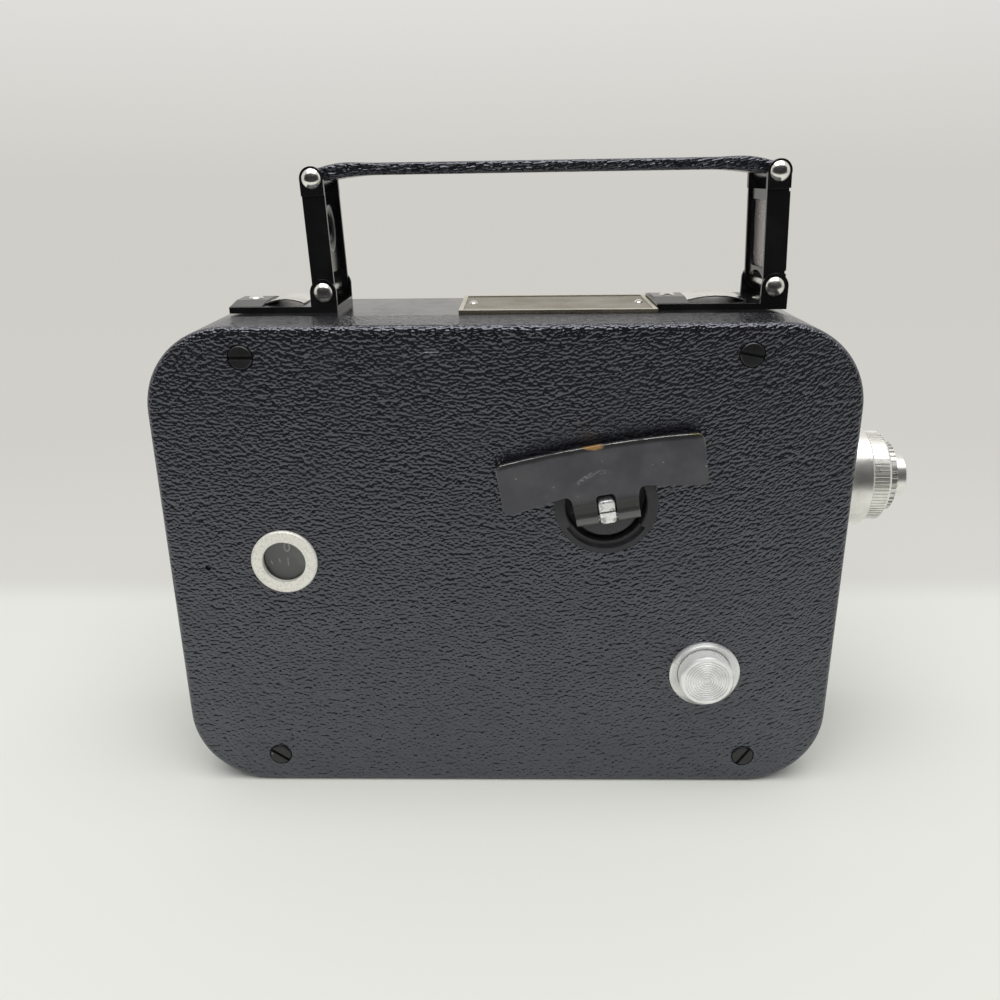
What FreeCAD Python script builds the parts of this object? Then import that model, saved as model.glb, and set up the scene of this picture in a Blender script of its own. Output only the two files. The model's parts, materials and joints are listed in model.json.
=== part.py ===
import FreeCAD, Part
import math
import os

os.makedirs("parts", exist_ok=True)

# A spool-loading movie camera of the spring-wound kind, with a folding handle whose two
# uprights are also the eyepiece and the window of its viewfinder.
# Millimetres. +X is the way the lens looks, +Z is up, the winding key is on the -Y side and
# the film door on the +Y side. The origin is the mouth of the tripod socket, in the middle
# of the bottom.

# Case
body_length = 160.0
body_height = 117.5
body_depth = 46.0
corner_radius = 19.3
cover_depth = 15.2
leather_thickness = 0.8
leather_edge_radius = 1.5
pan_wall = 1.2
frame_wall = 2.4
partition_thickness = 1.6
lip_height = 3.0
lip_wall = 1.3
lip_root = 2.0
joint_depth = 0.5
bearing_wall = 1.4
lip_clearance = 0.1
ledge_width = 1.6
ledge_thickness = 1.6

# Film door
door_plate = 1.0
door_border = 1.3
door_skirt_depth = 3.5
door_skirt_wall = 1.2
door_clearance = 0.15
door_edge_radius = 0.8
door_leather_clearance = 0.05

# Fits
running_clearance = 0.05
seat_clearance = 0.05
loose_clearance = 0.3
thread_clearance = 0.05
leather_clearance = 0.1
shaft_end_gap = 0.3

# Cover screws, seen from the key side: distance in from an end and from the top or bottom, and
# the turn of the slot
top_rear_screw = (22.6, 6.7, 0.0)
top_front_screw = (25.7, 6.8, -11.0)
bottom_rear_screw = (22.0, 8.0, -35.0)
bottom_front_screw = (19.7, 7.9, 55.0)
screw_head_radius = 2.65
screw_head_height = 1.5
screw_head_sunk = 0.35
screw_head_chamfer = 0.25
screw_head_clearance = 0.15
screw_shank_radius = 1.3
screw_length = 14.0
screw_point_gap = 1.0
screw_slot_width = 0.8
screw_slot_depth = 0.7
screw_post_radius = 3.6

# Winding key, its cup and its arbor
key_x = 23.7
key_z = 76.1
cup_clearance = 0.4
key_angle = 9.5
cup_flange_radius = 12.0
cup_bore_radius = 9.3
cup_wall = 1.9
cup_floor = 0.7
cup_depth = 5.2
cup_flange_proud = 0.5
cup_edge = 0.3
cup_nail_radius = 10.6
cup_nail_depth = 1.3
cup_nail_half_angle = 59.0
hub_radius = 8.0
hub_thickness = 3.25
hub_gap = 0.25
hub_edge = 0.3
key_axis_proud = 0.6
key_axis_drop = 2.55
key_knuckle_radius = 1.3
key_pin_radius = 0.7
key_pin_inset = 0.4
key_post_half_width = 1.9
key_post_low = -3.85
key_post_high = 1.9
key_post_proud = 1.7
key_post_side_round = 0.9
key_post_face_round = 0.6
key_post_groove = 0.3
key_plate_thickness = 1.2
key_plate_gap = 1.2
key_half_span = 23.5
key_top_middle = 15.2
key_top_end = 14.1
key_wing_low_end = 1.7
key_wing_low_middle = 4.35
key_neck_half_width = 7.4
key_neck_flare = 0.6
key_neck_drop = 3.1
key_neck_start = 2.6
key_neck_dip = 0.9
key_neck_lap = 0.6
key_neck_bend = 1.0
key_corner_radius = 1.8
key_neck_radius = 2.6
key_notch_half_width = 2.25
key_notch_top = 3.4
key_notch_round = 1.0
arbor_radius = 3.0
arbor_tail_radius = 2.0
arbor_core_wall = 1.5
arbor_bore_gap = 0.3

# Movement between the partition and the movement plate
movement_plate_thickness = 1.2
movement_plate_left = -10.0
movement_plate_beyond = 6.5
movement_plate_low = 41.0
movement_plate_top_gap = 15.5
movement_plate_radius = 6.0
pillar_radius = 2.5
pillar_inset = 4.0
pillar_neck_radius = 1.2
pillar_head_radius = 2.0
pillar_head_height = 1.0
pillar_slot_width = 0.6
pillar_slot_depth = 0.5
ratchet_radius = 7.5
ratchet_teeth = 24
ratchet_tooth_depth = 0.9
ratchet_thickness = 1.0
ratchet_gap = 0.3
pawl_tip_angle = 52.0
pawl_reach = 11.6
pawl_eye_radius = 2.0
pawl_stud_radius = 0.8
pawl_arm_half_width = 1.5
pawl_tip_width = 1.1
pawl_tip_rise = 1.3
barrel_radius = 20.5
barrel_wall = 0.8
barrel_gap = 0.6
barrel_width = 9.3
spring_stack = 5.5
spring_side_gap = 0.4
gear_module = 0.6
fine_module = 0.5
dial_module = 0.4
barrel_teeth = 80
barrel_gear_inset = 2.7
barrel_gear_thickness = 1.8
second_pinion_teeth = 10
second_wheel_teeth = 48
second_wheel_gap = 1.1
second_wheel_thickness = 1.0
second_wheel_window = 2.9
second_wheel_rim = 2.5
second_sleeve_radius = 1.7
pinion_overhang = 0.3
wheel_partition_gap = 1.3
third_gap = 0.7675
third_z = 66.5
third_pinion_teeth = 8
crown_teeth = 28
crown_inner_radius = 4.3
crown_outer_radius = 6.9
crown_rim = 0.3
crown_tooth_height = 0.8
crown_tooth_half = 0.22
crown_mesh_gap = 0.1
crown_thickness = 1.4
train_arbor_radius = 1.0
governor_pinion_teeth = 8
governor_angle = 225.0
governor_disc_radius = 8.0
governor_gap = 0.3
governor_disc_thickness = 0.8
governor_hub_radius = 2.0
governor_hub_length = 5.0
governor_weight_reach = 4.6
governor_weight_radius = 1.9
governor_weight_end = 3.6
governor_arm_reach = 5.5
governor_arm_half_width = 1.0
governor_arm_start = 3.2
governor_arm_end = 3.8
takeup_direction = 239.5
idler_teeth = 30
takeup_gear_teeth = 30
gear_hub_radius = 2.4
gear_hub_overhang = 1.0

# Shutter, claw and gate
optical_z = 73.0
shutter_shaft_depth = 1.0
shutter_pinion_teeth = 12
shutter_radius = 16.0
shutter_gap = 1.2
shutter_thickness = 0.6
shutter_open_angle = 165.0
shutter_shaft_radius = 1.0
shutter_shaft_overhang = 0.2
shutter_bearing_length = 4.0
shutter_pinion_ease = 0.25
shutter_flute_depth = 0.6
shutter_collar_radius = 3.0
shutter_web = 2.0
shutter_nut_radius = 2.6
shutter_nut_length = 1.5
gate_gap = 1.6
gate_thickness = 1.5
gate_low = 44.0
gate_top_gap = 15.5
gate_behind = 9.5
gate_door_gap = 2.2
gate_cut_behind = 3.2
gate_foot = 6.0
claw_slot_half = 0.9
claw_slot_margin = 0.9
aperture_width = 4.8
aperture_height = 3.5
film_side_gap = 0.3
film_gap = 0.4
claw_stroke = 3.8
claw_thickness = 1.2
claw_gap = 0.4
claw_edge = 4.2
claw_half_width = 5.2
claw_rim = 1.8
claw_arm_low = 3.2
claw_arm_height = 2.0
claw_tooth = 1.0
cam_radius = 2.2
cam_throw = 0.9
cam_clearance = 0.3
guide_thickness = 1.2
guide_clearance = 0.1
guide_low = 9.5
pressure_plate_thickness = 1.4
pressure_plate_height = 22.0
pressure_travel = 2.0
pressure_pin_radius = 1.2
pressure_pin_spread = 7.0
pressure_pin_length = 6.0
pressure_relief_depth = 0.3
pressure_relief_border = 3.0
pressure_post_gap = 1.0
pressure_post_thickness = 1.2
pressure_post_half_height = 9.5
pressure_foot_length = 7.0
pressure_side_gap = 2.0
spring_end_gap = 0.05
pressure_spring_radius = 2.2
pressure_spring_wire = 0.2
pressure_spring_turns = 3

# Spools and spindles
spindle_radius = 3.9
spindle_flat = 3.2
spindle_tip_gap = 2.1
spindle_tip_height = 0.6
spindle_shaft_radius = 2.0
spindle_disc_radius = 7.0
spindle_disc_thickness = 1.0
spindle_disc_gap = 0.3
spindle_tip_chamfer = 0.4
drag_disc_radius = 5.0
drag_disc_thickness = 1.2
supply_x = -44.0
supply_top_gap = 33.5
supply_post_length = 6.0
spool_radius = 25.4
spool_hub_radius = 8.0
spool_gap = 1.6
spool_door_gap = 1.4
spool_flange = 0.8
spool_bore_radius = 4.1
spool_window_radius = 4.5

# Footage counter
window_x = -52.0
window_z = 62.2
window_bezel_radius = 7.85
window_radius = 5.15
window_bezel_proud = 0.9
window_sleeve_radius = 6.6
window_edge = 0.3
window_seat_depth = 0.5
window_seat_step = 0.6
window_glass_thickness = 0.8
dial_radius = 18.6
dial_offset = 13.0
dial_thickness = 0.8
dial_boss_radius = 2.5
dial_gap = 1.2
dial_arbor_radius = 0.9
sector_thickness = 1.4
sector_gap = 1.0
counter_post_gap = 0.4
dial_nose = 0.4
dial_pinion_teeth = 8
sector_teeth = 96
feeler_angle = 67.4
feeler_shaft_radius = 1.5
feeler_hub_radius = 3.0
feeler_foot_radius = 3.4
feeler_foot_proud = 0.6
feeler_arm_gap = 0.4
feeler_arm_thickness = 1.4
feeler_arm_half_width = 2.0
feeler_roller_radius = 2.4
feeler_roller_gap = 6.2
sector_half_angle = 22.0
feeler_spindle_gap = 10.0
feeler_rest_angle = 6.2
feeler_range = 20.0
pinhole_x = -70.5
pinhole_z = 60.5
pinhole_radius = 0.7

# Release button
button_x = 49.0
button_z = 32.0
button_radius = 6.5
button_proud = 4.2
button_stem_radius = 2.0
button_stem_length = 8.4
button_skirt = 1.0
button_groove_pitch = 0.62
button_groove_half_width = 0.16
button_groove_depth = 0.18
button_edge = 0.35
button_dimple_radius = 0.45
button_dimple_depth = 0.15
button_side_clearance = 0.1
button_tip_length = 1.0
button_tip_radius = 0.5
bezel_radius = 8.6
bezel_proud = 1.0
bezel_crest = 0.35
bezel_lip = 0.9
bezel_sleeve_wall = 0.9
bezel_depth = 6.0
bezel_floor = 0.8
spring_wire = 0.25
spring_radius = 3.6
spring_turns = 4
lever_width = 5.0
lever_thickness = 1.2
lever_pin_radius = 0.8
lever_hub_radius = 1.6
lever_hub_drop = 0.7
lever_tail = 2.0
lever_overlap = 1.5
bracket_half_length = 2.2
bracket_side_gap = 0.3
bracket_sheet = 1.2
bracket_nose = 1.6
bracket_pin_proud = 0.1

# Folding handle and viewfinder
rear_pivot_x = -42.35
front_pivot_x = 63.4
rear_pivot_height = 4.65
front_pivot_height = 5.2
upright_length = 25.35
upright_lean = 2.2
upright_half_width = 9.4
upright_leg = 5.2
upright_sheet = 1.0
head_proud = 0.4
head_edge_proud = 0.1
head_length = 3.7
ear_gap = 0.15
ear_sheet = 0.9
ear_half_width = 3.1
base_plate = 1.45
base_toe = 3.1
rear_base_reach = 22.65
front_base_reach = 27.2
clip_length = 7.6
clip_height = 0.9
clip_half_width = 10.1
clip_crest = 3.6
leaf_width = 12.0
leaf_thickness = 0.35
leaf_rise = 1.0
leaf_foot = 5.6
leaf_inset = 0.5
pivot_pin_radius = 1.3
rivet_radius = 2.25
rivet_height = 1.15
small_rivet_radius = 1.9
small_rivet_height = 0.8
base_rivet_radius = 1.6
base_rivet_height = 0.5
base_rivet_offset = 1.0
top_rivet_shank = 1.0
rivet_clearance = 0.02
web_sheet = 0.8
rear_web_face = 1.2
rear_web_low = 3.8
rear_web_top_gap = 6.0
sight_ring_radius = 5.5
sight_hole_radius = 3.55
sight_ring_chamfer = 0.4
sight_ring_lip = 0.6
sight_ring_tail = 0.5
sight_ring_proud = 0.15
sight_top_gap = 11.5
front_web_face = -1.9
front_web_low = 1.0
front_web_arch_top = 2.9
front_arch_radius = 13.0
front_web_top_gap = 3.8
front_window_low = 3.7
front_window_top_gap = 6.2
front_window_half_width = 7.1
front_window_radius = 2.4
front_glass_thickness = 1.0
front_glass_margin = 0.6
front_notch_depth = 0.3
front_notch_height = 0.7
front_notch_low = 2.7
strap_width = 14.0
strap_thickness = 2.7
strap_underside = 0.55
strap_edge_radius = 0.8
strap_end_length = 14.0
strap_end_peak = 6.6
strap_end_rise = 0.12
strap_end_top = 1.9
strap_end_low = 1.0
strap_end_overhang = 1.2
core_width = 10.0
core_thickness = 0.8
core_height = 1.5
eye_radius = 2.0
eye_side_gap = 0.25

# Nameplate, left bare
plate_length = 46.3
plate_gap = 0.2
plate_near_inset = 1.6
plate_far_inset = 2.6
plate_thickness = 0.6
plate_rim = 1.0
plate_rim_height = 0.25
plate_pin_inset = 2.9
plate_pin_radius = 1.1
plate_pin_height = 0.7
plate_pin_shank = 0.6

# Lens, from the case outwards
flange_radius = 13.3
flange_thickness = 1.0
lens_flange_hole = 8.0
lens_boss_radius = 9.8
lens_boss_depth = 6.0
barrel_tube_radius = 12.75
barrel_tube_length = 10.9
focus_ring_radius = 11.5
focus_ring_bore = 9.0
focus_ring_length = 4.8
focus_ring_flutes = 80
focus_flute_depth = 0.35
focus_chamfer = 0.9
aperture_ring_radius = 9.0
aperture_ring_bore = 6.4
aperture_ring_length = 2.0
aperture_ring_notches = 40
aperture_notch_depth = 0.4
ring_gap = 0.12
ring_lip = 0.4
nose_radius = 5.7
lens_length = 22.8
lens_bore = 4.6
lens_edge = 0.4
lens_front_recess = 1.2
lens_rear_recess = 3.0
lens_tail = 5.0
lens_bulge = 0.5
lens_front_curve = 12.0
lens_rear_curve = 20.0
lens_fit = 0.02
glass_thickness = 1.6
iris_radius = 1.6
iris_thickness = 0.4
iris_depth = 1.0

# Tripod socket
bush_radius = 6.2
bush_length = 5.5
socket_radius = 2.6
socket_depth = 5.0
tripod_boss = 9.5
tripod_boss_back = 8.0
tripod_roof = 0.4

# Door latch
latch_x = 8.0
latch_z = 78.0
latch_knob_radius = 11.0
latch_knob_rim = 1.2
latch_knob_dish = 0.6
latch_knob_edge = 0.4
latch_knob_proud = 1.2
latch_grip_height = 2.8
latch_grip_width = 3.2
latch_grip_inset = 1.6
latch_grip_round = 0.6
latch_shaft_radius = 2.0
latch_bar_half = 19.0
latch_bar_width = 5.0
latch_bar_thickness = 1.2
latch_bar_depth = 4.2
keeper_radius = 2.5
keeper_gap = 1.3
keeper_overlap = 2.5
keeper_thickness = 1.0
keeper_half_width = 2.0

# Worked out from the sizes above. The movement takes what it needs from the leather of the cover
# to the film floor, and the spools fill the rest of the depth up to the door.
mechanism_depth = (cup_depth + cup_clearance + movement_plate_thickness + ratchet_gap + ratchet_thickness
                   + barrel_gap + barrel_width + second_wheel_gap + second_wheel_thickness
                   + wheel_partition_gap + partition_thickness)
spool_width = body_depth - mechanism_depth - spool_gap - spool_door_gap - door_plate - leather_thickness
film_width = spool_width - 2.0 * spool_flange - 2.0 * film_side_gap
front_y = -body_depth / 2.0
back_y = body_depth / 2.0
film_floor_y = front_y + mechanism_depth
split_y = front_y + cover_depth
band_y = (split_y + back_y) / 2.0
optical_y = band_y
handle_y = band_y
pan_y = front_y + leather_thickness
pan_inside_y = pan_y + pan_wall
door_leather_y = back_y - leather_thickness
door_seat_y = door_leather_y - door_plate
partition_y = film_floor_y - partition_thickness
movement_plate_y = front_y + cup_depth + cup_clearance
movement_plate_back_y = movement_plate_y + movement_plate_thickness
movement_plate_high = body_height - movement_plate_top_gap
ratchet_y = movement_plate_back_y + ratchet_gap
barrel_y = ratchet_y + ratchet_thickness + barrel_gap
barrel_end_y = barrel_y + barrel_width
barrel_gear_y = barrel_end_y - barrel_gear_inset - barrel_gear_thickness
barrel_gear_end_y = barrel_end_y - barrel_gear_inset
second_wheel_y = barrel_end_y + second_wheel_gap
shutter_y = partition_y - shutter_shaft_depth
crown_top_y = shutter_y - fine_module * shutter_pinion_teeth * 0.4 - crown_mesh_gap
crown_y = crown_top_y - crown_tooth_height - crown_thickness
spool_y = film_floor_y + spool_gap
film_edge_y = spool_y + spool_flange + film_side_gap
claw_y = film_floor_y + claw_edge
gate_high = body_height - gate_top_gap
gate_cut_low = gate_low + gate_foot
gate_cut_high = gate_high - gate_foot
gate_left_y = film_floor_y - gate_behind
gate_right_y = door_seat_y - gate_door_gap
third_reach = barrel_radius + third_gap + crown_outer_radius + crown_rim
third_x = key_x + math.sqrt(third_reach ** 2 - (key_z - third_z) ** 2)
movement_plate_right = third_x + movement_plate_beyond
crown_edge_x = third_x + crown_outer_radius
shutter_shaft_rear = third_x + crown_inner_radius - shutter_shaft_overhang
gate_x = crown_edge_x + gate_gap
gate_cut_x = crown_edge_x - gate_cut_behind
claw_x = gate_x + gate_thickness + claw_gap
cam_end_x = claw_x + claw_thickness + 2.0 * guide_clearance
shutter_x = cam_end_x + shutter_gap
supply_z = body_height - supply_top_gap
latch_bar_y = door_seat_y - latch_bar_depth
spindle_top_y = door_seat_y - spindle_tip_gap - spindle_tip_height
top_z = body_height
half_length = body_length / 2.0
barrel_tube_end = half_length + flange_thickness + barrel_tube_length
nose_end = half_length + lens_length
rear_pivot_z = top_z + rear_pivot_height
front_pivot_z = top_z + front_pivot_height
base_half_width = upright_half_width + ear_gap + ear_sheet
eye_half_width = upright_half_width - upright_sheet - eye_side_gap
across = 2.0 * base_half_width
handle_ends = ((rear_pivot_x, rear_pivot_z, rear_base_reach),
               (front_pivot_x, front_pivot_z, front_base_reach))
plate_right = front_pivot_x - front_base_reach - plate_gap
plate_left = plate_right - plate_length
plate_near_y = split_y + plate_near_inset
plate_far_y = back_y - plate_far_inset
plate_middle_y = (plate_near_y + plate_far_y) / 2.0
rear_web_high = upright_length - rear_web_top_gap
sight_centre = upright_length - sight_top_gap
front_web_high = upright_length - front_web_top_gap
front_window_high = upright_length - front_window_top_gap
screw_places = [(-half_length + top_rear_screw[0], top_z - top_rear_screw[1], top_rear_screw[2]),
                (half_length - top_front_screw[0], top_z - top_front_screw[1], top_front_screw[2]),
                (-half_length + bottom_rear_screw[0], bottom_rear_screw[1], bottom_rear_screw[2]),
                (half_length - bottom_front_screw[0], bottom_front_screw[1], bottom_front_screw[2])]
pillar_places = [(x, z) for x in (movement_plate_left + pillar_inset, movement_plate_right - pillar_inset)
                 for z in (movement_plate_low + pillar_inset, movement_plate_high - pillar_inset)]
X = FreeCAD.Vector(1, 0, 0)
Y = FreeCAD.Vector(0, 1, 0)
Z = FreeCAD.Vector(0, 0, 1)


def vec(x, y, z):
    return FreeCAD.Vector(x, y, z)


def block(x0, x1, y0, y1, z0, z1):
    return Part.makeBox(x1 - x0, y1 - y0, z1 - z0, vec(x0, y0, z0))


def rod_x(y, z, radius, x0, x1):
    return Part.makeCylinder(radius, x1 - x0, vec(x0, y, z), X)


def rod_y(x, z, radius, y0, y1):
    return Part.makeCylinder(radius, y1 - y0, vec(x, y0, z), Y)


def rod_z(x, y, radius, z0, z1):
    return Part.makeCylinder(radius, z1 - z0, vec(x, y, z0), Z)


def ring_y(x, z, outer, inner, y0, y1):
    return rod_y(x, z, outer, y0, y1).cut(rod_y(x, z, inner, y0 - 1, y1 + 1))


def ring_x(y, z, outer, inner, x0, x1):
    return rod_x(y, z, outer, x0, x1).cut(rod_x(y, z, inner, x0 - 1, x1 + 1))


def face_of(points):
    return Part.Face(Part.makePolygon(points + [points[0]]))


def sheet_y(outline, y0, y1):
    """A flat piece with an outline in X and Z, from y0 to y1."""
    return face_of([vec(x, y0, z) for x, z in outline]).extrude(vec(0, y1 - y0, 0))


def sheet_x(outline, x0, x1):
    """A flat piece with an outline in Y and Z, from x0 to x1."""
    return face_of([vec(x0, y, z) for y, z in outline]).extrude(vec(x1 - x0, 0, 0))


def turned_y(profile, x, z):
    """A turned piece about a line along Y, from points of place and radius."""
    face = face_of([vec(x + r, y, z) for y, r in profile])
    return face.revolve(vec(x, 0, z), Y, 360)


def turned_x(profile, y, z):
    """A turned piece about a line along X, from points of place and radius."""
    face = face_of([vec(x, y, z + r) for x, r in profile])
    return face.revolve(vec(0, y, z), X, 360)


def rounded_outline(corners, y):
    """A closed wire at y through corners of x, z and corner radius, with round corners."""
    edges = []
    ends = []
    count = len(corners)
    for i in range(count):
        x, z, radius = corners[i]
        before = corners[i - 1]
        after = corners[(i + 1) % count]
        here = vec(x, y, z)
        back = vec(before[0], y, before[1]).sub(here).normalize()
        on = vec(after[0], y, after[1]).sub(here).normalize()
        half = back.getAngle(on) / 2.0
        reach = radius / math.tan(half)
        start = here.add(vec(back.x, 0, back.z).multiply(reach))
        stop = here.add(vec(on.x, 0, on.z).multiply(reach))
        middle_way = back.add(on).normalize()
        centre = here.add(vec(middle_way.x, 0, middle_way.z).multiply(radius / math.sin(half)))
        middle = centre.sub(vec(middle_way.x, 0, middle_way.z).multiply(radius))
        ends.append((start, middle, stop))
    for i in range(count):
        start, middle, stop = ends[i]
        edges.append(Part.Arc(start, middle, stop).toShape())
        following = ends[(i + 1) % count][0]
        if stop.distanceToPoint(following) > 1e-6:
            edges.append(Part.LineSegment(stop, following).toShape())
    return Part.Wire(edges)


def rounded_sheet(corners, y0, y1):
    return Part.Face(rounded_outline(corners, y0)).extrude(vec(0, y1 - y0, 0))


def case_plate(inset, y0, y1):
    """The outline of the case, drawn in by inset, as a solid from y0 to y1."""
    radius = corner_radius - inset
    left = -half_length + inset
    right = half_length - inset
    low = inset
    high = body_height - inset
    corners = [(left, low, radius), (right, low, radius), (right, high, radius), (left, high, radius)]
    return rounded_sheet(corners, y0, y1)


def edges_at_y(shape, y):
    return [e for e in shape.Edges if abs(e.BoundBox.YMin - y) < 1e-4 and abs(e.BoundBox.YMax - y) < 1e-4]


def gear_outline(x, z, teeth, module, phase):
    """Tooth outline in X and Z. A tooth points along phase, in degrees from +X towards +Z."""
    tip = module * (teeth / 2.0 + 0.75)
    root = module * (teeth / 2.0 - 1.15)
    pitch = math.pi * module
    half_pitch_thickness = 0.20 * pitch
    lean = math.tan(math.radians(20.0))
    at_tip = (half_pitch_thickness - 0.75 * module * lean) / tip
    at_pitch = half_pitch_thickness / (module * teeth / 2.0)
    at_root = min((half_pitch_thickness + 0.9 * module * lean) / root, 0.42 * 2.0 * math.pi / teeth)
    points = []
    for i in range(teeth):
        middle = math.radians(phase) + i * 2.0 * math.pi / teeth
        steps = [(-at_root, root), (-at_pitch, module * teeth / 2.0), (-at_tip, tip),
                 (at_tip, tip), (at_pitch, module * teeth / 2.0), (at_root, root)]
        for turn, radius in steps:
            points.append((x + radius * math.cos(middle + turn), z + radius * math.sin(middle + turn)))
    return points


def meshing_phase(phase, teeth, direction, other_teeth):
    """Phase of a gear that meshes with one of this phase, lying in this direction from it."""
    pitch = 360.0 / teeth
    fraction = ((direction - phase) / pitch) % 1.0
    other_pitch = 360.0 / other_teeth
    return direction + 180.0 + fraction * other_pitch + other_pitch / 2.0


def direction_of(x0, z0, x1, z1):
    return math.degrees(math.atan2(z1 - z0, x1 - x0))


def fluted_ring(y, z, outer, inner, x0, x1, count, depth):
    """A knurled ring about a line along X."""
    points = []
    for i in range(count):
        middle = i * 2.0 * math.pi / count
        step = 2.0 * math.pi / count
        for part, radius in ((-0.30, outer), (0.30, outer), (0.5, outer - depth)):
            turn = middle + part * step
            points.append((y + radius * math.cos(turn), z + radius * math.sin(turn)))
    return sheet_x(points, x0, x1).cut(rod_x(y, z, inner, x0 - 1, x1 + 1))


def dome_y(x, z, radius, height, y, outward):
    """A domed head that stands on the plane at y and looks along outward, -1 or +1."""
    ball = (radius * radius + height * height) / (2.0 * height)
    centre = y - outward * (ball - height)
    sphere = Part.makeSphere(ball, vec(x, centre, z))
    low = min(y, y + outward * height)
    return sphere.common(rod_y(x, z, radius, low, low + height))


def dome_z(x, y, radius, height, z):
    ball = (radius * radius + height * height) / (2.0 * height)
    sphere = Part.makeSphere(ball, vec(x, y, z + height - ball))
    return sphere.common(rod_z(x, y, radius, z, z + height))


def fuse_all(shapes):
    whole = shapes[0]
    if len(shapes) > 1:
        whole = whole.multiFuse(shapes[1:])
    return whole.removeSplitter()


def save(name, shape):
    solids = shape.Solids
    if not shape.isValid():
        print("NOT VALID", name)
    out = solids[0] if len(solids) == 1 else Part.makeCompound(solids)
    out.exportStep("parts/" + name + ".step")
    print("%-22s %d solids %10.2f mm3" % (name, len(solids), out.Volume))


# Places of the wheels, worked out so that each pair meshes
barrel_pitch = gear_module * barrel_teeth / 2.0
second_reach = barrel_pitch + gear_module * second_pinion_teeth / 2.0
mesh_reach = fine_module * (second_wheel_teeth + third_pinion_teeth) / 2.0
second_along = (second_reach ** 2 - mesh_reach ** 2 + third_reach ** 2) / (2.0 * third_reach)
second_aside = math.sqrt(second_reach ** 2 - second_along ** 2)
third_ux = (third_x - key_x) / third_reach
third_uz = (third_z - key_z) / third_reach
second_x = key_x + second_along * third_ux + second_aside * third_uz
second_z = key_z + second_along * third_uz - second_aside * third_ux
governor_reach = fine_module * (second_wheel_teeth + governor_pinion_teeth) / 2.0
governor_x = second_x + governor_reach * math.cos(math.radians(governor_angle))
governor_z = second_z + governor_reach * math.sin(math.radians(governor_angle))
idler_reach = barrel_pitch + gear_module * idler_teeth / 2.0
takeup_reach = idler_reach + gear_module * (idler_teeth + takeup_gear_teeth) / 2.0
idler_x = key_x + idler_reach * math.cos(math.radians(takeup_direction))
idler_z = key_z + idler_reach * math.sin(math.radians(takeup_direction))
takeup_x = key_x + takeup_reach * math.cos(math.radians(takeup_direction))
takeup_z = key_z + takeup_reach * math.sin(math.radians(takeup_direction))
dial_x = window_x
dial_z = window_z - dial_offset
feeler_reach = dial_module * (sector_teeth + dial_pinion_teeth) / 2.0
feeler_x = dial_x + feeler_reach * math.cos(math.radians(-feeler_angle))
feeler_z = dial_z + feeler_reach * math.sin(math.radians(-feeler_angle))

# Phases of the teeth, from the barrel outwards
barrel_phase = 0.0
second_way = direction_of(key_x, key_z, second_x, second_z)
second_phase = meshing_phase(barrel_phase, barrel_teeth, second_way, second_pinion_teeth)
third_way = direction_of(second_x, second_z, third_x, third_z)
third_phase = meshing_phase(0.0, second_wheel_teeth, third_way, third_pinion_teeth)
governor_phase = meshing_phase(0.0, second_wheel_teeth, governor_angle, governor_pinion_teeth)
idler_phase = meshing_phase(barrel_phase, barrel_teeth, takeup_direction, idler_teeth)
takeup_phase = meshing_phase(idler_phase, idler_teeth, takeup_direction, takeup_gear_teeth)
dial_way = direction_of(feeler_x, feeler_z, dial_x, dial_z)
dial_phase = meshing_phase(dial_way, sector_teeth, dial_way, dial_pinion_teeth)

# Heights of the key parts above the leather, all towards -Y
hub_floor_y = front_y + cup_depth - cup_floor
hub_top_y = hub_floor_y - hub_gap - hub_thickness
key_axis_y = front_y - key_axis_proud
key_axis_z = key_z - key_axis_drop
key_plate_back_y = front_y - key_plate_gap
key_plate_front_y = key_plate_back_y - key_plate_thickness
key_post_y = key_axis_y - key_post_proud
cup_flange_y = front_y - cup_flange_proud
pawl_x = key_x
pawl_z = key_z + pawl_reach
button_face_y = front_y - button_proud
button_back_y = front_y + button_skirt
button_stem_end = button_back_y + button_stem_length
lever_front_y = button_stem_end + loose_clearance
governor_y = lever_front_y + lever_thickness + governor_gap
bezel_floor_y = front_y + bezel_depth
dial_front_y = pan_inside_y + dial_gap
sector_y = dial_front_y + dial_thickness + sector_gap
counter_post_y = sector_y + sector_thickness + counter_post_gap
takeup_post_y = barrel_gear_end_y + counter_post_gap
supply_post_y = partition_y - supply_post_length
window_glass_y = front_y + window_seat_depth


def tilted(shape):
    """A piece of the key, turned with the hub to where it stands."""
    shape.rotate(vec(key_x, 0, key_z), Y, -key_angle)
    return shape


def coil(height, radius, wire, turns):
    """A coil spring that stands on the origin along +Z."""
    def on_coil(share):
        turn = 2.0 * math.pi * turns * share
        return vec(radius * math.cos(turn), radius * math.sin(turn), height * share)

    quarters = 4 * turns
    arcs = []
    for i in range(quarters):
        arcs.append(Part.Arc(on_coil(i / quarters), on_coil((i + 0.5) / quarters),
                             on_coil((i + 1) / quarters)).toShape())
    path = Part.Wire(arcs)
    rise = height / turns / (2.0 * math.pi * radius)
    ring = Part.Wire([Part.makeCircle(wire, vec(radius, 0, 0), vec(0, 1, rise))])
    return path.makePipeShell([ring], True, False)


def shift(shape, x, y, z):
    shape.translate(vec(x, y, z))
    return shape


# Case


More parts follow.
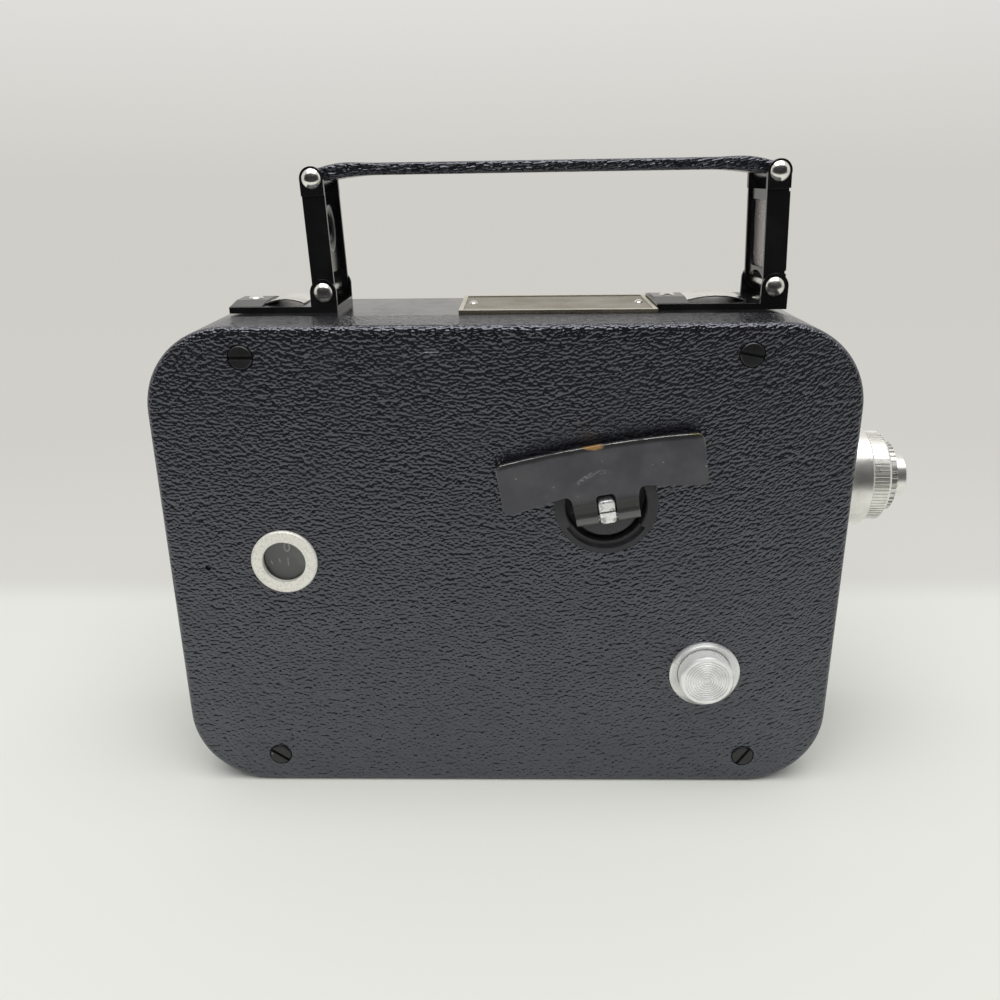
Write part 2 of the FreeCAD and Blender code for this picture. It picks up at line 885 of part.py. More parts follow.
def make_main_frame():
    ring = case_plate(0.0, split_y, door_seat_y)
    ring = ring.cut(case_plate(frame_wall, split_y - 1, door_seat_y + 1))
    lip_outer = leather_thickness + pan_wall + lip_clearance
    lip = case_plate(lip_outer, split_y - lip_height, split_y + lip_root)
    lip = lip.cut(case_plate(lip_outer + lip_wall, split_y - lip_height - 1, split_y + lip_root + 1))
    ledge = case_plate(frame_wall - joint_depth, partition_y - ledge_thickness, partition_y)
    ledge = ledge.cut(case_plate(frame_wall + ledge_width, partition_y - ledge_thickness - 1,
                                 partition_y + 1))
    posts = [rod_y(x, z, screw_post_radius, pan_inside_y, partition_y) for x, z, turn in screw_places]
    tripod = tripod_block(0.0)
    wall_inside = half_length - frame_wall
    lens_boss = rod_x(optical_y, optical_z, lens_boss_radius, half_length - lens_boss_depth,
                      wall_inside + joint_depth)
    shutter_boss = rod_x(shutter_y, third_z, shutter_shaft_radius + bearing_wall,
                         wall_inside - shutter_bearing_length, wall_inside + joint_depth)
    frame = fuse_all([ring, lip, ledge, tripod, lens_boss, shutter_boss] + posts)
    holes = [rod_y(x, z, screw_shank_radius + thread_clearance, pan_inside_y - 1,
                   pan_y + screw_head_sunk + screw_length) for x, z, turn in screw_places]
    holes.append(rod_x(optical_y, optical_z, lens_flange_hole, half_length - lens_boss_depth - 1,
                       half_length + 1))
    holes.append(rod_x(shutter_y, third_z, shutter_shaft_radius + running_clearance,
                       wall_inside - shutter_bearing_length - 1, wall_inside))
    holes.append(rod_z(0, 0, bush_radius, -1.0, bush_length))
    for pivot_x, pivot_z, reach in handle_ends:
        for x in (pivot_x - reach + clip_length / 2.0, pivot_x - base_rivet_offset):
            holes.append(rod_z(x, handle_y, top_rivet_shank, top_z - frame_wall - 1.0, top_z + 1.0))
    for x in (plate_left + plate_pin_inset, plate_right - plate_pin_inset):
        holes.append(rod_z(x, plate_middle_y, plate_pin_shank + thread_clearance, top_z - frame_wall - 1.0,
                           top_z + 1.0))
    save("main_frame", frame.cut(Part.makeCompound(holes)))


def tripod_block(extra):
    """The block that holds the tripod bush, wider by extra."""
    half = tripod_boss + extra
    return block(-half, half, split_y, tripod_boss_back + extra, frame_wall - joint_depth,
                 bush_length + tripod_roof + extra)


def make_main_plate():
    plate = case_plate(frame_wall + running_clearance, partition_y, film_floor_y)
    plate = plate.cut(block(gate_cut_x, half_length, partition_y - 1, film_floor_y + 1,
                            gate_cut_low, gate_cut_high))
    plate = plate.cut(tripod_block(loose_clearance))
    posts = []
    for x, z, radius, end in ((takeup_x, takeup_z, spindle_shaft_radius, takeup_post_y),
                              (supply_x, supply_z, spindle_shaft_radius, supply_post_y),
                              (feeler_x, feeler_z, feeler_shaft_radius, counter_post_y),
                              (dial_x, dial_z, dial_arbor_radius, counter_post_y)):
        posts.append(rod_y(x, z, radius + bearing_wall, end, partition_y + joint_depth))
    head_y = movement_plate_y - pillar_head_height
    for x, z in pillar_places:
        posts.append(rod_y(x, z, pillar_radius, movement_plate_back_y, partition_y + joint_depth))
        posts.append(rod_y(x, z, pillar_neck_radius, movement_plate_y - pillar_head_height / 2.0,
                           movement_plate_back_y + joint_depth))
        posts.append(rod_y(x, z, pillar_head_radius, head_y, movement_plate_y))
    plate = fuse_all([plate] + posts)
    through = (counter_post_y - 1, film_floor_y + 1)
    arbors = [(key_x, key_z, arbor_tail_radius), (second_x, second_z, train_arbor_radius),
              (third_x, third_z, train_arbor_radius), (governor_x, governor_z, train_arbor_radius),
              (idler_x, idler_z, train_arbor_radius), (takeup_x, takeup_z, spindle_shaft_radius),
              (supply_x, supply_z, spindle_shaft_radius), (feeler_x, feeler_z, feeler_shaft_radius),
              (dial_x, dial_z, dial_arbor_radius)]
    holes = [rod_y(x, z, radius + running_clearance, *through) for x, z, radius in arbors]
    for x, z in pillar_places:
        holes.append(block(x - pillar_radius, x + pillar_radius, head_y - 1, head_y + pillar_slot_depth,
                           z - pillar_slot_width / 2.0, z + pillar_slot_width / 2.0))
    save("main_plate", plate.cut(Part.makeCompound(holes)))

    keepers = []
    hook_y = latch_bar_y + latch_bar_thickness + keeper_gap
    for side in (-1, 1):
        x = latch_x + side * (latch_bar_half + keeper_radius + joint_depth)
        reach = latch_x + side * (latch_bar_half - keeper_overlap)
        post = rod_y(x, latch_z, keeper_radius, film_floor_y, hook_y + keeper_thickness)
        hook = block(min(x, reach), max(x, reach), hook_y, hook_y + keeper_thickness,
                     latch_z - keeper_half_width, latch_z + keeper_half_width)
        keepers.append(fuse_all([post, hook]))
    save("latch_keepers", Part.makeCompound(keepers))


def screw_holes(radius, y0, y1):
    return [rod_y(x, z, radius, y0, y1) for x, z, turn in screw_places]


def fitted_holes(clearance, y0, y1):
    """The holes through the cover for the cup, the window and the bezel of the button."""
    sizes = ((key_x, key_z, cup_bore_radius + cup_wall), (window_x, window_z, window_sleeve_radius),
             (button_x, button_z, button_radius + bezel_sleeve_wall))
    return [rod_y(x, z, radius + clearance, y0, y1) for x, z, radius in sizes]


def make_cover():
    pan = case_plate(leather_thickness, pan_y, split_y)
    rounded = leather_edge_radius - leather_thickness
    pan = pan.makeFillet(rounded, edges_at_y(pan, pan_y))
    inside = case_plate(leather_thickness + pan_wall, pan_inside_y, split_y + 1)
    pan = pan.cut(inside)
    head_hole = screw_head_radius + screw_head_clearance
    shank_hole = screw_shank_radius + leather_clearance
    pan = pan.cut(Part.makeCompound(screw_holes(shank_hole, front_y - 1, split_y)))
    pan = pan.cut(Part.makeCompound(screw_holes(head_hole, front_y - 1, pan_y + screw_head_sunk)))
    pan = pan.cut(Part.makeCompound(fitted_holes(seat_clearance, front_y - 1, split_y)))
    save("mechanism_cover", pan)

    skin = case_plate(0.0, front_y, split_y)
    skin = skin.makeFillet(leather_edge_radius, edges_at_y(skin, front_y))
    core = case_plate(leather_thickness, pan_y, split_y + 1)
    core = core.makeFillet(rounded, edges_at_y(core, pan_y))
    skin = skin.cut(core)
    holes = screw_holes(head_hole + leather_clearance, front_y - 1, pan_y + 1)
    holes += fitted_holes(seat_clearance + leather_clearance, front_y - 1, pan_y + 1)
    holes.append(rod_y(pinhole_x, pinhole_z, pinhole_radius, front_y - 1, pan_y + 1))
    skin = skin.cut(Part.makeCompound(holes))
    save("cover_leather", skin)


def make_cover_screws():
    screws = []
    for x, z, turn in screw_places:
        top = pan_y + screw_head_sunk - screw_head_height
        head = rod_y(x, z, screw_head_radius, top, top + screw_head_height)
        head = head.makeChamfer(screw_head_chamfer, edges_at_y(head, top))
        slot = block(x - screw_head_radius - 1, x + screw_head_radius + 1, top - 1, top + screw_slot_depth,
                     z - screw_slot_width / 2.0, z + screw_slot_width / 2.0)
        slot.rotate(vec(x, 0, z), Y, -turn)
        shank = rod_y(x, z, screw_shank_radius, top + screw_head_height,
                      top + screw_head_height + screw_length - screw_point_gap)
        screws.append(fuse_all([head.cut(slot), shank]))
    save("cover_screws", Part.makeCompound(screws))


def make_key_cup():
    outer = cup_bore_radius + cup_wall
    floor_y = hub_floor_y + cup_floor
    shaft_hole = arbor_radius + loose_clearance
    profile = [(cup_flange_y, cup_bore_radius + cup_edge), (cup_flange_y, cup_flange_radius - cup_edge),
               (cup_flange_y + cup_edge, cup_flange_radius), (front_y, cup_flange_radius), (front_y, outer),
               (floor_y, outer), (floor_y, shaft_hole), (hub_floor_y, shaft_hole),
               (hub_floor_y, cup_bore_radius), (cup_flange_y + cup_edge, cup_bore_radius)]
    cup = turned_y(profile, key_x, key_z)
    # the bore is wider below, where a finger gets at the folded key
    nail = Part.makeCylinder(cup_nail_radius, cup_nail_depth + 1, vec(key_x, cup_flange_y - 1, key_z), Y)
    reach = cup_flange_radius
    wedge = [(key_x, key_z)]
    for share in (-1.0, -0.5, 0.0, 0.5, 1.0):
        turn = math.radians(-90.0 + share * cup_nail_half_angle)
        wedge.append((key_x + reach * math.cos(turn), key_z + reach * math.sin(turn)))
    nail = nail.common(sheet_y(wedge, cup_flange_y - 2, floor_y))
    save("key_cup", cup.cut(nail))


def make_winding_arbor():
    hub = rod_y(key_x, key_z, hub_radius, hub_top_y, hub_top_y + hub_thickness)
    hub = hub.makeChamfer(hub_edge, edges_at_y(hub, hub_top_y))
    post = block(key_x - key_post_half_width, key_x + key_post_half_width, key_post_y,
                 hub_top_y + joint_depth, key_z + key_post_low, key_z + key_post_high)
    post = post.makeFillet(key_post_side_round, [e for e in post.Edges if e.BoundBox.YLength > 1.0])
    post = post.makeFillet(key_post_face_round, edges_at_y(post, key_post_y))
    groove_z = key_z + (key_post_low + key_post_high) / 2.0
    groove = rod_x(key_post_y, groove_z, key_post_groove, key_x - hub_radius, key_x + hub_radius)
    post = tilted(post.cut(groove))
    shaft = rod_y(key_x, key_z, arbor_radius, hub_top_y + joint_depth, barrel_y + joint_depth)
    core = rod_y(key_x, key_z, arbor_radius + arbor_core_wall, barrel_y + barrel_wall + spring_side_gap,
                 barrel_y + barrel_width - barrel_wall - arbor_bore_gap)
    tail = rod_y(key_x, key_z, arbor_tail_radius, barrel_y, film_floor_y - shaft_end_gap)
    arbor = fuse_all([hub, post, shaft, core, tail])
    arbor = arbor.cut(tilted(rod_x(key_axis_y, key_axis_z, key_pin_radius, key_x - hub_radius,
                                   key_x + hub_radius)))
    points = []
    for i in range(ratchet_teeth):
        step = 2.0 * math.pi / ratchet_teeth
        for part, radius in ((0.0, ratchet_radius), (0.08, ratchet_radius - ratchet_tooth_depth)):
            turn = (i + part) * step
            points.append((key_x + radius * math.cos(turn), key_z + radius * math.sin(turn)))
    wheel = sheet_y(points, ratchet_y, ratchet_y + ratchet_thickness)
    save("winding_arbor", fuse_all([arbor, wheel]))
    reach = key_neck_half_width - key_pin_inset
    pin = rod_x(key_axis_y, key_axis_z, key_pin_radius, key_x - reach, key_x + reach)
    save("key_hinge_pin", tilted(pin))


def make_pawl():
    tip_turn = math.radians(pawl_tip_angle)
    tip_radius = ratchet_radius + loose_clearance
    tip_x = key_x + tip_radius * math.cos(tip_turn)
    tip_z = key_z + tip_radius * math.sin(tip_turn)
    side = pawl_arm_half_width
    arm = sheet_y([(tip_x, tip_z), (tip_x + pawl_tip_width, tip_z + pawl_tip_rise),
                   (pawl_x + side, pawl_z + side), (pawl_x - side, pawl_z - side)],
                  ratchet_y, ratchet_y + ratchet_thickness)
    eye = rod_y(pawl_x, pawl_z, pawl_eye_radius, ratchet_y, ratchet_y + ratchet_thickness)
    bore = rod_y(pawl_x, pawl_z, pawl_stud_radius + running_clearance, ratchet_y - 1,
                 ratchet_y + ratchet_thickness + 1)
    save("ratchet_pawl", fuse_all([arm, eye]).cut(bore))


def key_wings():
    """The flat wings of the key, standing over the hub before it is tilted."""
    corners = [(-key_half_span, key_top_end, key_corner_radius)]
    sag = key_top_middle - key_top_end
    for share in (-0.66, -0.33, 0.0, 0.33, 0.66):
        corners.append((share * key_half_span, key_top_middle - sag * share * share, 2.0 * key_half_span))
    flare = key_neck_half_width + key_neck_flare
    neck_low = key_wing_low_middle - key_neck_drop
    corners += [(key_half_span, key_top_end, key_corner_radius),
                (key_half_span, key_wing_low_end, key_corner_radius),
                (flare, key_wing_low_middle, key_neck_radius),
                (key_neck_half_width, neck_low, key_neck_flare),
                (-key_neck_half_width, neck_low, key_neck_flare),
                (-flare, key_wing_low_middle, key_neck_radius),
                (-key_half_span, key_wing_low_end, key_corner_radius)]
    limited = []
    for i, (u, v, radius) in enumerate(corners):
        before = corners[i - 1]
        after = corners[(i + 1) % len(corners)]
        back = math.atan2(before[1] - v, before[0] - u)
        on = math.atan2(after[1] - v, after[0] - u)
        half = abs((back - on + math.pi) % (2 * math.pi) - math.pi) / 2.0
        room = 0.48 * min(math.hypot(before[0] - u, before[1] - v), math.hypot(after[0] - u, after[1] - v))
        limited.append((key_x + u, key_z + v, min(radius, room * math.tan(half))))
    wings = rounded_sheet(limited, key_plate_front_y, key_plate_back_y)
    low = key_z + key_wing_low_middle - key_neck_start
    under = block(key_x - cup_bore_radius, key_x + cup_bore_radius, key_plate_front_y - 1,
                  key_plate_back_y + 1, key_z - hub_radius, low)
    return wings.cut(under)


def make_winding_key():
    # the neck dips behind the wings and comes out again round the hinge pin, as one bent strip
    neck_top = key_z + key_wing_low_middle - key_neck_start
    knuckle_top = key_axis_z + key_knuckle_radius * 0.6
    dip_front = key_plate_front_y + key_neck_dip
    dip_back = dip_front + key_plate_thickness
    neck = [(key_plate_back_y, neck_top + key_neck_lap), (key_plate_front_y, neck_top + key_neck_lap),
            (key_plate_front_y, neck_top - key_neck_bend * 0.2), (dip_front, knuckle_top + key_neck_bend),
            (dip_front, knuckle_top), (key_axis_y, key_axis_z), (dip_back, knuckle_top),
            (dip_back, knuckle_top + key_neck_bend * 1.4)]
    neck = sheet_x(neck, key_x - key_neck_half_width, key_x + key_neck_half_width)
    knuckle = rod_x(key_axis_y, key_axis_z, key_knuckle_radius, key_x - key_neck_half_width,
                    key_x + key_neck_half_width)
    key = fuse_all([key_wings(), neck, knuckle])
    notch = block(key_x - key_notch_half_width, key_x + key_notch_half_width, key_plate_front_y - 1,
                  key_axis_y + key_knuckle_radius + 1, key_axis_z - key_knuckle_radius - 1,
                  key_z + key_notch_top)
    upper = [e for e in notch.Edges if e.BoundBox.YLength > 1.0 and e.BoundBox.ZMin > key_z]
    key = key.cut(notch.makeFillet(key_notch_round, upper))
    key = key.cut(rod_x(key_axis_y, key_axis_z, key_pin_radius + running_clearance, key_x - hub_radius,
                        key_x + hub_radius))
    save("winding_key", tilted(key))


# Counter window, dial and feeler


def make_counter():
    bezel_y = front_y - window_bezel_proud
    sleeve_end = pan_inside_y + window_edge
    seat = window_sleeve_radius - window_seat_step
    profile = [(front_y, window_radius), (bezel_y, window_radius),
               (bezel_y, window_bezel_radius - window_edge),
               (bezel_y + window_edge, window_bezel_radius), (front_y, window_bezel_radius),
               (front_y, window_sleeve_radius), (sleeve_end, window_sleeve_radius), (sleeve_end, seat),
               (window_glass_y, seat), (window_glass_y, window_radius)]
    save("window_bezel", turned_y(profile, window_x, window_z))
    save("window_glass", rod_y(window_x, window_z, seat - seat_clearance, window_glass_y,
                               window_glass_y + window_glass_thickness))
    disc = rod_y(dial_x, dial_z, dial_radius, dial_front_y, dial_front_y + dial_thickness)
    arbor = rod_y(dial_x, dial_z, dial_arbor_radius, dial_front_y - dial_nose, film_floor_y - shaft_end_gap)
    boss = rod_y(dial_x, dial_z, dial_boss_radius, dial_front_y, sector_y - sector_gap / 2.0)
    pinion = sheet_y(gear_outline(dial_x, dial_z, dial_pinion_teeth, dial_module, dial_phase),
                     sector_y - sector_gap / 2.0, sector_y + sector_thickness + counter_post_gap / 2.0)
    save("counter_dial", fuse_all([disc, boss, arbor, pinion]))

    teeth = sheet_y(gear_outline(feeler_x, feeler_z, sector_teeth, dial_module, dial_way),
                    sector_y, sector_y + sector_thickness)
    wedge_reach = dial_module * sector_teeth
    wedge_points = [(feeler_x, feeler_z)]
    for share in (-1.0, -0.5, 0.0, 0.5, 1.0):
        turn = math.radians(dial_way - feeler_range / 2.0 + share * sector_half_angle)
        wedge_points.append((feeler_x + wedge_reach * math.cos(turn),
                             feeler_z + wedge_reach * math.sin(turn)))
    sector = teeth.common(sheet_y(wedge_points, sector_y - 1, sector_y + sector_thickness + 1))
    hub_end = sector_y + sector_thickness + counter_post_gap / 2.0
    hub = rod_y(feeler_x, feeler_z, feeler_hub_radius, sector_y, hub_end)
    shaft = rod_y(feeler_x, feeler_z, feeler_shaft_radius, sector_y, film_floor_y + feeler_arm_gap)
    feeler_length = supply_z - feeler_z - feeler_spindle_gap
    lean = math.radians(90.0 + feeler_rest_angle)
    tip_x = feeler_x + feeler_length * math.cos(lean)
    tip_z = feeler_z + feeler_length * math.sin(lean)
    side_x = feeler_arm_half_width * math.sin(lean)
    side_z = -feeler_arm_half_width * math.cos(lean)
    arm_low = film_floor_y + feeler_arm_gap
    arm_high = arm_low + feeler_arm_thickness
    arm = sheet_y([(feeler_x - side_x, feeler_z - side_z), (feeler_x + side_x, feeler_z + side_z),
                   (tip_x + side_x, tip_z + side_z), (tip_x - side_x, tip_z - side_z)], arm_low, arm_high)
    foot = rod_y(feeler_x, feeler_z, feeler_foot_radius, arm_low, arm_high + feeler_foot_proud)
    roller = rod_y(tip_x, tip_z, feeler_roller_radius, arm_low, door_seat_y - feeler_roller_gap)
    save("feeler_arm", fuse_all([sector, hub, shaft, arm, foot, roller]))


# Release button and the lever that it works


def make_button():
    outer = button_radius + bezel_sleeve_wall
    bore = button_radius + button_side_clearance
    floor_top = bezel_floor_y - bezel_floor
    stem_hole = button_stem_radius + running_clearance
    profile = [(front_y, bezel_radius), (front_y - bezel_proud * 0.7, bezel_radius),
               (front_y - bezel_proud, bezel_radius - bezel_crest),
               (front_y - bezel_proud * 0.75, bezel_radius - bezel_lip),
               (front_y - button_side_clearance, bore), (floor_top, bore), (floor_top, stem_hole),
               (bezel_floor_y, stem_hole), (bezel_floor_y, outer), (front_y, outer)]
    save("button_bezel", turned_y(profile, button_x, button_z))

    dimple_y = button_face_y + button_dimple_depth
    face = [(dimple_y, 0.0), (dimple_y, button_dimple_radius - button_dimple_depth),
            (button_face_y, button_dimple_radius)]
    first = button_dimple_radius - button_dimple_depth + button_groove_pitch
    last = button_radius - button_edge - 2.0 * button_groove_half_width
    for i in range(int((last - first) / button_groove_pitch) + 1):
        r = first + i * button_groove_pitch
        face += [(button_face_y, r - button_groove_half_width), (button_face_y + button_groove_depth, r),
                 (button_face_y, r + button_groove_half_width)]
    face += [(button_face_y, button_radius - button_edge), (button_face_y + button_edge, button_radius),
             (button_back_y, button_radius), (button_back_y, button_stem_radius)]
    shoulder = (button_stem_radius + button_tip_radius) / 2.0
    face += [(button_stem_end - button_tip_length, button_stem_radius),
             (button_stem_end - 0.3 * button_tip_length, shoulder),
             (button_stem_end, button_tip_radius), (button_stem_end, 0.0)]
    save("release_button", turned_y(face, button_x, button_z))

    gap = floor_top - button_back_y
    height = gap - 2.0 * (spring_wire + spring_end_gap)
    spring = coil(height, spring_radius, spring_wire, spring_turns)
    spring.rotate(vec(0, 0, 0), X, -90)
    save("button_spring", shift(spring, button_x, button_back_y + spring_wire + spring_end_gap, button_z))
    make_stop_lever()


def make_stop_lever():
    """The rocking lever from under the stem of the button to the rim of the governor."""
    distance = math.hypot(governor_x - button_x, governor_z - button_z)
    ux = (governor_x - button_x) / distance
    uz = (governor_z - button_z) / distance
    slope = -math.degrees(math.atan2(uz, ux))
    reach = distance - governor_disc_radius + lever_overlap
    middle = reach / 2.0
    half = lever_width / 2.0
    axis = lever_thickness + lever_hub_drop
    bar = block(-lever_tail, reach, 0, lever_thickness, -half, half)
    hub = rod_z(middle, axis, lever_hub_radius, -half, half)
    bore = rod_z(middle, axis, lever_pin_radius + running_clearance, -half - 1, half + 1)
    lever = fuse_all([bar, hub]).cut(bore)
    lever.rotate(vec(0, 0, 0), Y, slope)
    save("stop_lever", shift(lever, button_x, lever_front_y, button_z))

    pivot_x = button_x + middle * ux
    pivot_z = button_z + middle * uz
    pivot_y = lever_front_y + axis
    inner = half + bracket_side_gap
    outer = inner + bracket_sheet
    depth = partition_y - pivot_y
    pin = rod_z(0, 0, lever_pin_radius, -outer - bracket_pin_proud, outer + bracket_pin_proud)
    cheeks = [block(-bracket_half_length, bracket_half_length, -bracket_nose, depth,
                    low, low + bracket_sheet) for low in (-outer, inner)]
    foot = block(-bracket_half_length, bracket_half_length, depth - bracket_sheet, depth, -outer, outer)
    bracket = fuse_all([pin, foot] + cheeks)
    bracket.rotate(vec(0, 0, 0), Y, slope)
    save("lever_bracket", shift(bracket, pivot_x, pivot_y, pivot_z))
    print("LEVER pivot %.4f %.4f %.4f axis %.5f %.5f ratio rad/m %.4f"
          % (pivot_x, pivot_y, pivot_z, -uz, ux, 1000.0 / middle))


# Movement: barrel, train and governor


def make_movement():
    corners = [(movement_plate_left, movement_plate_low, movement_plate_radius),
               (movement_plate_right, movement_plate_low, movement_plate_radius),
               (movement_plate_right, movement_plate_high, movement_plate_radius),
               (movement_plate_left, movement_plate_high, movement_plate_radius)]
    plate = rounded_sheet(corners, movement_plate_y, movement_plate_back_y)
    stud = rod_y(pawl_x, pawl_z, pawl_stud_radius, movement_plate_y + joint_depth,
                 ratchet_y + ratchet_thickness)
    plate = fuse_all([plate, stud])
    holes = [rod_y(key_x, key_z, arbor_radius + running_clearance, front_y, film_floor_y)]
    for x, z in ((second_x, second_z), (third_x, third_z), (governor_x, governor_z), (idler_x, idler_z)):
        holes.append(rod_y(x, z, train_arbor_radius + running_clearance, front_y, film_floor_y))
    for x, z in pillar_places:
        holes.append(rod_y(x, z, pillar_neck_radius, front_y, film_floor_y))
    save("movement_plate", plate.cut(Part.makeCompound(holes)))
    make_barrel()
    make_second_wheel()
    make_third_wheel()
    make_governor()
    wheel = sheet_y(gear_outline(idler_x, idler_z, idler_teeth, gear_module, idler_phase),
                    barrel_gear_y, barrel_gear_end_y)
    hub = rod_y(idler_x, idler_z, gear_hub_radius, barrel_gear_y - gear_hub_overhang,
                barrel_gear_end_y + gear_hub_overhang)
    save("idler_gear", fuse_all([wheel, train_arbor(idler_x, idler_z), hub]))


def train_arbor(x, z):
    """An arbor from the movement plate to the film floor."""
    return rod_y(x, z, train_arbor_radius, movement_plate_y + seat_clearance, film_floor_y - shaft_end_gap)


def second_wheel_pinion(x, z, teeth, phase):
    """A pinion that the teeth of the second wheel drive, a little longer than they are wide."""
    return sheet_y(gear_outline(x, z, teeth, fine_module, phase), second_wheel_y - pinion_overhang,
                   second_wheel_y + second_wheel_thickness + pinion_overhang)


def make_barrel():
    drum = rod_y(key_x, key_z, barrel_radius, barrel_y, barrel_end_y)
    rim = sheet_y(gear_outline(key_x, key_z, barrel_teeth, gear_module, barrel_phase),
                  barrel_gear_y, barrel_gear_end_y)
    drum = fuse_all([drum, rim])
    inside = rod_y(key_x, key_z, barrel_radius - barrel_wall, barrel_y + barrel_wall,
                   barrel_end_y - barrel_wall)
    bore = rod_y(key_x, key_z, arbor_radius + running_clearance, front_y, film_floor_y)
    save("mainspring_barrel", drum.cut(inside).cut(bore))
    # the mainspring lies against the wall of the barrel when it has run down
    spring_outer = barrel_radius - barrel_wall - running_clearance
    save("mainspring", ring_y(key_x, key_z, spring_outer, spring_outer - spring_stack,
                              barrel_y + barrel_wall + spring_side_gap,
                              barrel_end_y - barrel_wall - spring_side_gap))


def make_second_wheel():
    wheel = sheet_y(gear_outline(second_x, second_z, second_wheel_teeth, fine_module, 0.0),
                    second_wheel_y, second_wheel_y + second_wheel_thickness)
    windows = []
    reach = fine_module * second_wheel_teeth / 2.0 - second_wheel_window - second_wheel_rim
    for i in range(4):
        turn = math.radians(45.0 + 90.0 * i)
        windows.append(rod_y(second_x + reach * math.cos(turn), second_z + reach * math.sin(turn),
                             second_wheel_window, second_wheel_y - 1, film_floor_y))
    wheel = wheel.cut(Part.makeCompound(windows))
    pinion = sheet_y(gear_outline(second_x, second_z, second_pinion_teeth, gear_module, second_phase),
                     barrel_gear_y - pinion_overhang, barrel_gear_end_y + pinion_overhang)
    sleeve = rod_y(second_x, second_z, second_sleeve_radius, barrel_gear_end_y,
                   second_wheel_y + joint_depth)
    save("second_wheel", fuse_all([wheel, pinion, train_arbor(second_x, second_z), sleeve]))


def make_third_wheel():
    disc = rod_y(third_x, third_z, crown_outer_radius + crown_rim, crown_y, crown_y + crown_thickness)
    teeth = []
    for i in range(crown_teeth):
        tooth = block(crown_inner_radius, crown_outer_radius, crown_y + joint_depth, crown_top_y,
                      -crown_tooth_half, crown_tooth_half)
        tooth.rotate(vec(0, 0, 0), Y, -i * 360.0 / crown_teeth)
        teeth.append(shift(tooth, third_x, 0, third_z))
    pinion = second_wheel_pinion(third_x, third_z, third_pinion_teeth, third_phase)
    save("third_wheel", fuse_all([disc, train_arbor(third_x, third_z), pinion] + teeth))


def make_governor():
    pinion = second_wheel_pinion(governor_x, governor_z, governor_pinion_teeth, governor_phase)
    disc = rod_y(governor_x, governor_z, governor_disc_radius, governor_y,
                 governor_y + governor_disc_thickness)
    hub = rod_y(governor_x, governor_z, governor_hub_radius, governor_y, governor_y + governor_hub_length)
    weights = [rod_y(governor_x + side * governor_weight_reach, governor_z, governor_weight_radius,
                     governor_y + governor_disc_thickness / 2.0, governor_y + governor_weight_end)
               for side in (-1, 1)]
    cross = block(governor_x - governor_arm_reach, governor_x + governor_arm_reach,
                  governor_y + governor_arm_start, governor_y + governor_arm_end,
                  governor_z - governor_arm_half_width, governor_z + governor_arm_half_width)
    save("governor", fuse_all([disc, hub, train_arbor(governor_x, governor_z), pinion, cross] + weights))


# Spindles and spool


def spindle(x, z, shaft_low):
    low = film_floor_y + spindle_disc_gap
    high = low + spindle_disc_thickness
    disc = rod_y(x, z, spindle_disc_radius, low, high)
    core = rod_y(x, z, spindle_radius, low, spindle_top_y)
    flat = spindle_flat
    square = block(x - flat, x + flat, low - 1, spindle_top_y + 1, z - flat, z + flat)
    core = core.common(square)
    tip_end = spindle_top_y + spindle_tip_height
    tip = rod_y(x, z, spindle_flat, spindle_top_y - joint_depth, tip_end)
    tip = tip.makeChamfer(spindle_tip_chamfer, edges_at_y(tip, tip_end))
    shaft = rod_y(x, z, spindle_shaft_radius, shaft_low, high)
    return [disc, core, tip, shaft]


def make_spindles():
    hub_start = barrel_gear_y - gear_hub_overhang
    wheel = sheet_y(gear_outline(takeup_x, takeup_z, takeup_gear_teeth, gear_module, takeup_phase),
                    barrel_gear_y, barrel_gear_end_y)
    hub = rod_y(takeup_x, takeup_z, spindle_shaft_radius + bearing_wall, hub_start,
                barrel_gear_end_y + counter_post_gap / 2.0)
    pieces = spindle(takeup_x, takeup_z, hub_start - joint_depth) + [wheel, hub]
    save("takeup_spindle", fuse_all(pieces))
    drag_end = supply_post_y - counter_post_gap
    drag_start = drag_end - drag_disc_thickness
    drag = rod_y(supply_x, supply_z, drag_disc_radius, drag_start, drag_end)
    save("supply_spindle", fuse_all(spindle(supply_x, supply_z, drag_start - joint_depth) + [drag]))

    spool_end = spool_y + spool_width
    profile = [(spool_y, spool_radius), (spool_y + spool_flange, spool_radius),
               (spool_y + spool_flange, spool_hub_radius), (spool_end - spool_flange, spool_hub_radius),
               (spool_end - spool_flange, spool_radius), (spool_end, spool_radius),
               (spool_end, spool_bore_radius), (spool_y, spool_bore_radius)]
    spool = turned_y(profile, takeup_x, takeup_z)
    windows = []
    window_reach = (spool_radius + spool_hub_radius) / 2.0
    for i in range(3):
        turn = math.radians(90.0 + 120.0 * i)
        windows.append(rod_y(takeup_x + window_reach * math.cos(turn),
                             takeup_z + window_reach * math.sin(turn), spool_window_radius,
                             film_floor_y, back_y))
    save("takeup_spool", spool.cut(Part.makeCompound(windows)))


# Shutter, claw, gate and pressure plate


